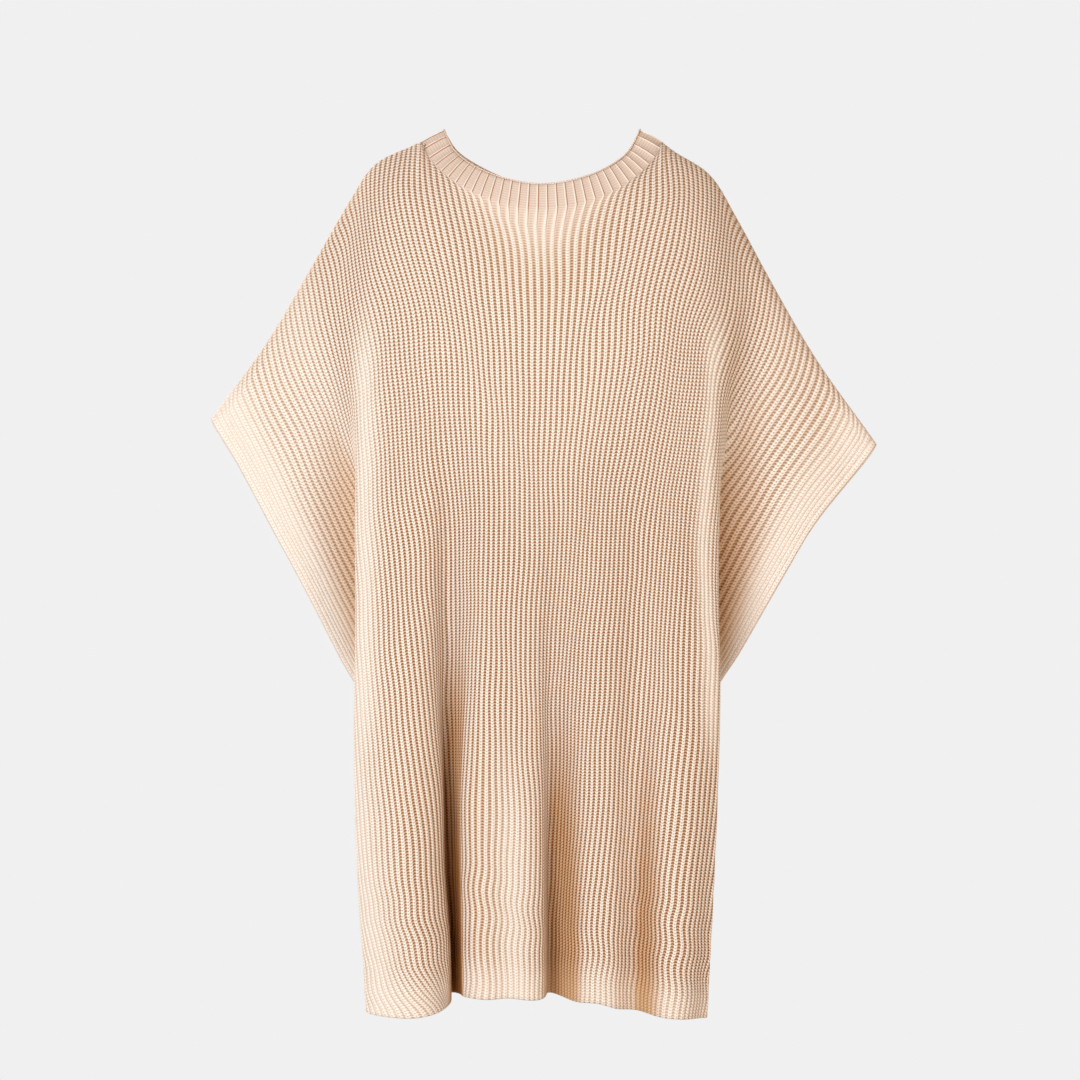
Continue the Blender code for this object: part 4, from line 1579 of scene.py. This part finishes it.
        # painted shade: the strands are darker in the valley between them
        strand = colour(self.valley)
        for amount, tint in ((leg, self.yarn), (dot, self.dot)):
            strand = add_node(tree, "ShaderNodeMix", {0: amount, 6: strand, 7: colour(tint)}, output=2,
                              data_type="RGBA")
        base = colour(self.closed)
        for amount, over in ((opened, colour(self.bar)), (column, strand), (hole, colour(self.hole)),
                             (banded, flat)):
            base = add_node(tree, "ShaderNodeMix", {0: amount, 6: base, 7: over}, output=2,
                            data_type="RGBA")
        # painted shade: the colour is multiplied darker and warmer in a hollow, and again in a narrow fold
        for (low, high), tint in ((self.deep_from, self.deep), (self.deepest_from, self.deepest)):
            shade_amount = add_node(tree, "ShaderNodeMapRange", {0: painted_hollow_shade, 1: low, 2: high},
                              interpolation_type="SMOOTHSTEP")
            base = add_node(tree, "ShaderNodeMix", {0: shade_amount, 6: base, 7: colour(tint)}, output=2,
                            data_type="RGBA", blend_type="MULTIPLY")
        height = add_node(tree, "ShaderNodeMath", {0: leg, 1: self.leg_rise, 2: self.column_height},
                          operation="MULTIPLY_ADD")
        height = add_node(tree, "ShaderNodeMath", {0: height, 1: column}, operation="MULTIPLY")
        for amount, sinks in ((hole, self.hole_depth), (dot, self.dot_depth)):
            height = add_node(tree, "ShaderNodeMath", {0: amount, 1: -sinks, 2: height},
                              operation="MULTIPLY_ADD")
        height = add_node(tree, "ShaderNodeMix", {0: banded, 2: height, 3: flat_height})
        self.surface(tree, base, height, self.bump_depth)
        return made


@dataclass(frozen=True)
class LinkingYarn(YarnFinish):
    """The same yarn as a single strand, in the linked stitches of the seams and edges."""

    linked: str = "#E6D2C2"         # the lit middle of a stitch's leg
    dark_end: Range = (0.05, 0.3)   # part of the leg over which it is reached
    bump_depth: float = 0.2         # what a height of 1 stands for, in millimetres

    def build(self) -> bpy.types.Material:
        """Make the material: a strand with painted shade at both ends, where it dips under its neighbours.

        Returns:
            The material.
        """
        made, tree = self.tree()
        _, v = self.counts(tree)
        along = add_node(tree, "ShaderNodeMath", {0: v, 1: 0.5}, operation="PINGPONG")
        low, high = self.dark_end
        lit = add_node(tree, "ShaderNodeMapRange", {0: along, 1: low, 2: high},
                       interpolation_type="SMOOTHSTEP")
        # painted shade on the ends of the leg, where it dips under its neighbours
        base = add_node(tree, "ShaderNodeMix", {0: lit, 6: colour(self.line), 7: colour(self.linked)},
                        output=2, data_type="RGBA")
        self.surface(tree, base, lit, self.bump_depth)
        return made


@dataclass(frozen=True)
class StudioPaper:
    """Matt studio paper, evenly lit: one plain pale tone. Seen from its back it is clear."""

    name: str = "Matt studio paper"
    ground: str = "#F0F0F0"

    def build(self) -> bpy.types.Material:
        """Make the material.

        Returns:
            The material.
        """
        made = bpy.data.materials.new(self.name)
        made.use_nodes = True
        tree = made.node_tree
        tree.nodes.clear()
        glow = add_node(tree, "ShaderNodeEmission", {"Color": colour(self.ground), "Strength": 1.0})
        clear = add_node(tree, "ShaderNodeBsdfTransparent")
        behind = add_node(tree, "ShaderNodeNewGeometry", output=6)
        mixed = add_node(tree, "ShaderNodeMixShader", {0: behind, 1: glow, 2: clear})
        add_node(tree, "ShaderNodeOutputMaterial", {"Surface": mixed})
        return made


# ---------------------------------------------------------------- the studio
@dataclass(frozen=True)
class SoftBox:
    """A square soft box: its place and its size in metres, its power in watts and its tint."""

    name: str
    place: Point
    size: float
    power: float
    tint: str

    def hang(self, aim: Point) -> None:
        """Hang it up, turned to a place.

        Args:
            aim: The place.
        """
        light = bpy.data.lights.new(self.name, "AREA")
        light.size = self.size
        light.energy = self.power
        light.color = colour(self.tint)[:3]
        lamp = bpy.data.objects.new(self.name, light)
        bpy.context.scene.collection.objects.link(lamp)
        away = np.array(self.place) - np.array(aim)
        lamp.location = self.place
        lamp.rotation_euler = (math.acos(away[2] / np.linalg.norm(away)), 0.0,
                               math.atan2(away[1], away[0]) + math.pi / 2)


@dataclass(frozen=True)
class Studio:
    """A plain pale studio, lit softly from the front on the wearer's right. Sizes are in metres."""

    floor: float = -1.4
    reach: float = 4.2              # from the middle to the wall
    cove: float = 1.0               # radius of the bend between floor and wall
    height: float = 3.4             # of the wall, up to the ceiling's curve
    fill: str = "#FFDDBA"
    fill_strength: float = 0.42
    lens: float = 79.37             # focal length, in millimetres
    sensor: float = 36.0
    distance: float = 2.5           # of the camera, in front of the middle
    eye: float = -0.43              # its height
    eye_side: float = -0.002
    lamps: tuple[SoftBox, ...] = (
        SoftBox("key_light", (-1.45, -3.1, 0.0), 2.4, 117.0, "#ECF5FF"),
        SoftBox("fill_light", (2.6, -2.4, -0.2), 2.4, 46.0, "#FFF8F2"),
        SoftBox("side_light", (-2.7, -1.0, -0.8), 1.5, 9.0, "#FFFFFF"),
        SoftBox("back_light", (-1.9, 2.8, 1.3), 2.0, 120.0, "#FFF8F0"),
    )

    def backdrop(self) -> None:
        """Turn one profile into the floor, the wall and the ceiling: flat, a quarter round, and up."""
        bend = np.linspace(0, np.pi / 2, 9)
        over = np.linspace(0, np.pi / 2, 13)
        radius = np.concatenate([[0.0], self.reach - self.cove + self.cove * np.sin(bend),
                                 self.reach * np.cos(over)])
        level = np.concatenate([[0.0], self.cove - self.cove * np.cos(bend),
                                self.height + self.reach * np.sin(over)]) + self.floor
        turn = np.linspace(0, 2 * np.pi, 65)[:, None]
        points = np.stack([radius * np.cos(turn), radius * np.sin(turn), level * np.ones_like(turn)], -1)
        index = np.arange(turn.size * radius.size).reshape(turn.size, -1)
        piece = mesh_object("studio_backdrop", points.reshape(-1, 3) / MM, [grid_faces(index)[:, ::-1]],
                            np.zeros((index.size, 2)))
        piece.data.materials.append(StudioPaper().build())
        piece.visible_diffuse = False
        piece.visible_glossy = False
        piece.visible_shadow = False
        piece.visible_transmission = False

    def camera(self) -> None:
        """Stand the camera level in front of the garment."""
        data = bpy.data.cameras.new("camera")
        data.lens = self.lens
        data.sensor_width = self.sensor
        camera = bpy.data.objects.new("camera", data)
        camera.location = (self.eye_side, -self.distance, self.eye)
        camera.rotation_euler = (math.pi / 2, 0.0, 0.0)
        bpy.context.scene.collection.objects.link(camera)
        bpy.context.scene.camera = camera

    def build(self) -> None:
        """Set up the backdrop, the lights, the fill and the camera."""
        bpy.context.scene.view_settings.view_transform = "Standard"
        self.backdrop()
        for lamp in self.lamps:
            lamp.hang((0.0, 0.0, self.eye))
        world = bpy.data.worlds.new("soft_fill")
        world.use_nodes = True
        sky = world.node_tree.nodes["Background"]
        sky.inputs["Color"].default_value = colour(self.fill)
        sky.inputs["Strength"].default_value = self.fill_strength
        bpy.context.scene.world = world
        self.camera()


# ---------------------------------------------------------------- the whole garment
@dataclass
class Sweater:
    """The sweater: two panels, two half bands and the linked seams, each riding on the one body."""

    form: WornForm = field(default_factory=WornForm)
    shoulder_gap: float = 0.8       # ribs beside a high point that the shoulder's chain leaves free
    shoulder_lift: float = 0.1      # height of its middle over the seam
    edge_width: float = 2.0         # width of the neckline's chain
    edge_rise: float = 0.5          # how far its middle stands over the band's edge
    edge_out: float = 0.7           # and in front of it

    def dress(self, piece: bpy.types.Object, material: bpy.types.Material) -> bpy.types.Object:
        """Give a piece its material and its slot, and let it ride on the body.

        Args:
            piece: The piece.
            material: Its material.

        Returns:
            The same piece.
        """
        piece.data.materials.append(material)
        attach(piece, BODY)
        LOG.info("%s: %d triangles", piece.name, triangles(piece))
        return piece

    def shoulder_seams(self) -> list[bpy.types.Object]:
        """Build the linked stitches along both shoulders.

        Returns:
            The right one and the left one.
        """
        made = []
        near = NECK_RIB + self.shoulder_gap
        for word, low, high in (("right", -RIBS, -near), ("left", near, RIBS)):
            ribs = np.linspace(low, high, 160)
            line = self.form.hang(self.form.top_edge(Side.FRONT, ribs)[None], ribs, np.zeros(1))[0]
            line[:, 1] = 0.0
            up = np.cross((0.0, 1.0, 0.0), unit(np.gradient(line, axis=0)))
            up *= np.sign(up[:, 2:3])
            chain = ChainStitch(f"shoulder_seam_{word}")
            made.append(chain.build(line + up * self.shoulder_lift, up))
        return made

    def neckline(self) -> list[bpy.types.Object]:
        """Build the linked stitches along the neckline.

        Returns:
            The front half and the back half.
        """
        made = []
        ribs = np.linspace(-NECK_RIB, NECK_RIB, 200)
        for side in Side:
            seam, free = self.form.band_rails(side, ribs)
            rise = unit(free - seam)
            out = unit(np.cross(-rise, np.gradient(free, axis=0))) * side.hand
            middle = free + rise * self.edge_rise + out * self.edge_out
            chain = ChainStitch(f"neckline_edge_{side.word}", width=self.edge_width)
            made.append(chain.build(middle, unit(rise + out)))
        return made

    def build(self) -> None:
        """Build every piece, give it its material and let it ride on the body."""
        rib_knit = RibKnit("Cotton rib knit, chunky").build()
        band_knit = BandKnit("Cotton band knit, flat").build()
        yarn = LinkingYarn("Cotton yarn, linked").build()
        for piece in self.shoulder_seams() + self.neckline():
            self.dress(piece, yarn)
        for side in Side:
            panel = self.dress(KnitPanel(side, self.form).build(), rib_knit)
            band = self.dress(NeckBand(side, self.form).build(), band_knit)
            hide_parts(side.word + "_panel")
            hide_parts("neck_band_" + side.word)


def main() -> None:
    """Load the frame, and build the studio and the sweater."""
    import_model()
    Studio().build()
    Sweater().build()


if __name__ == "__main__":
    logging.basicConfig(level=logging.INFO, format="%(name)s: %(message)s")
    main()
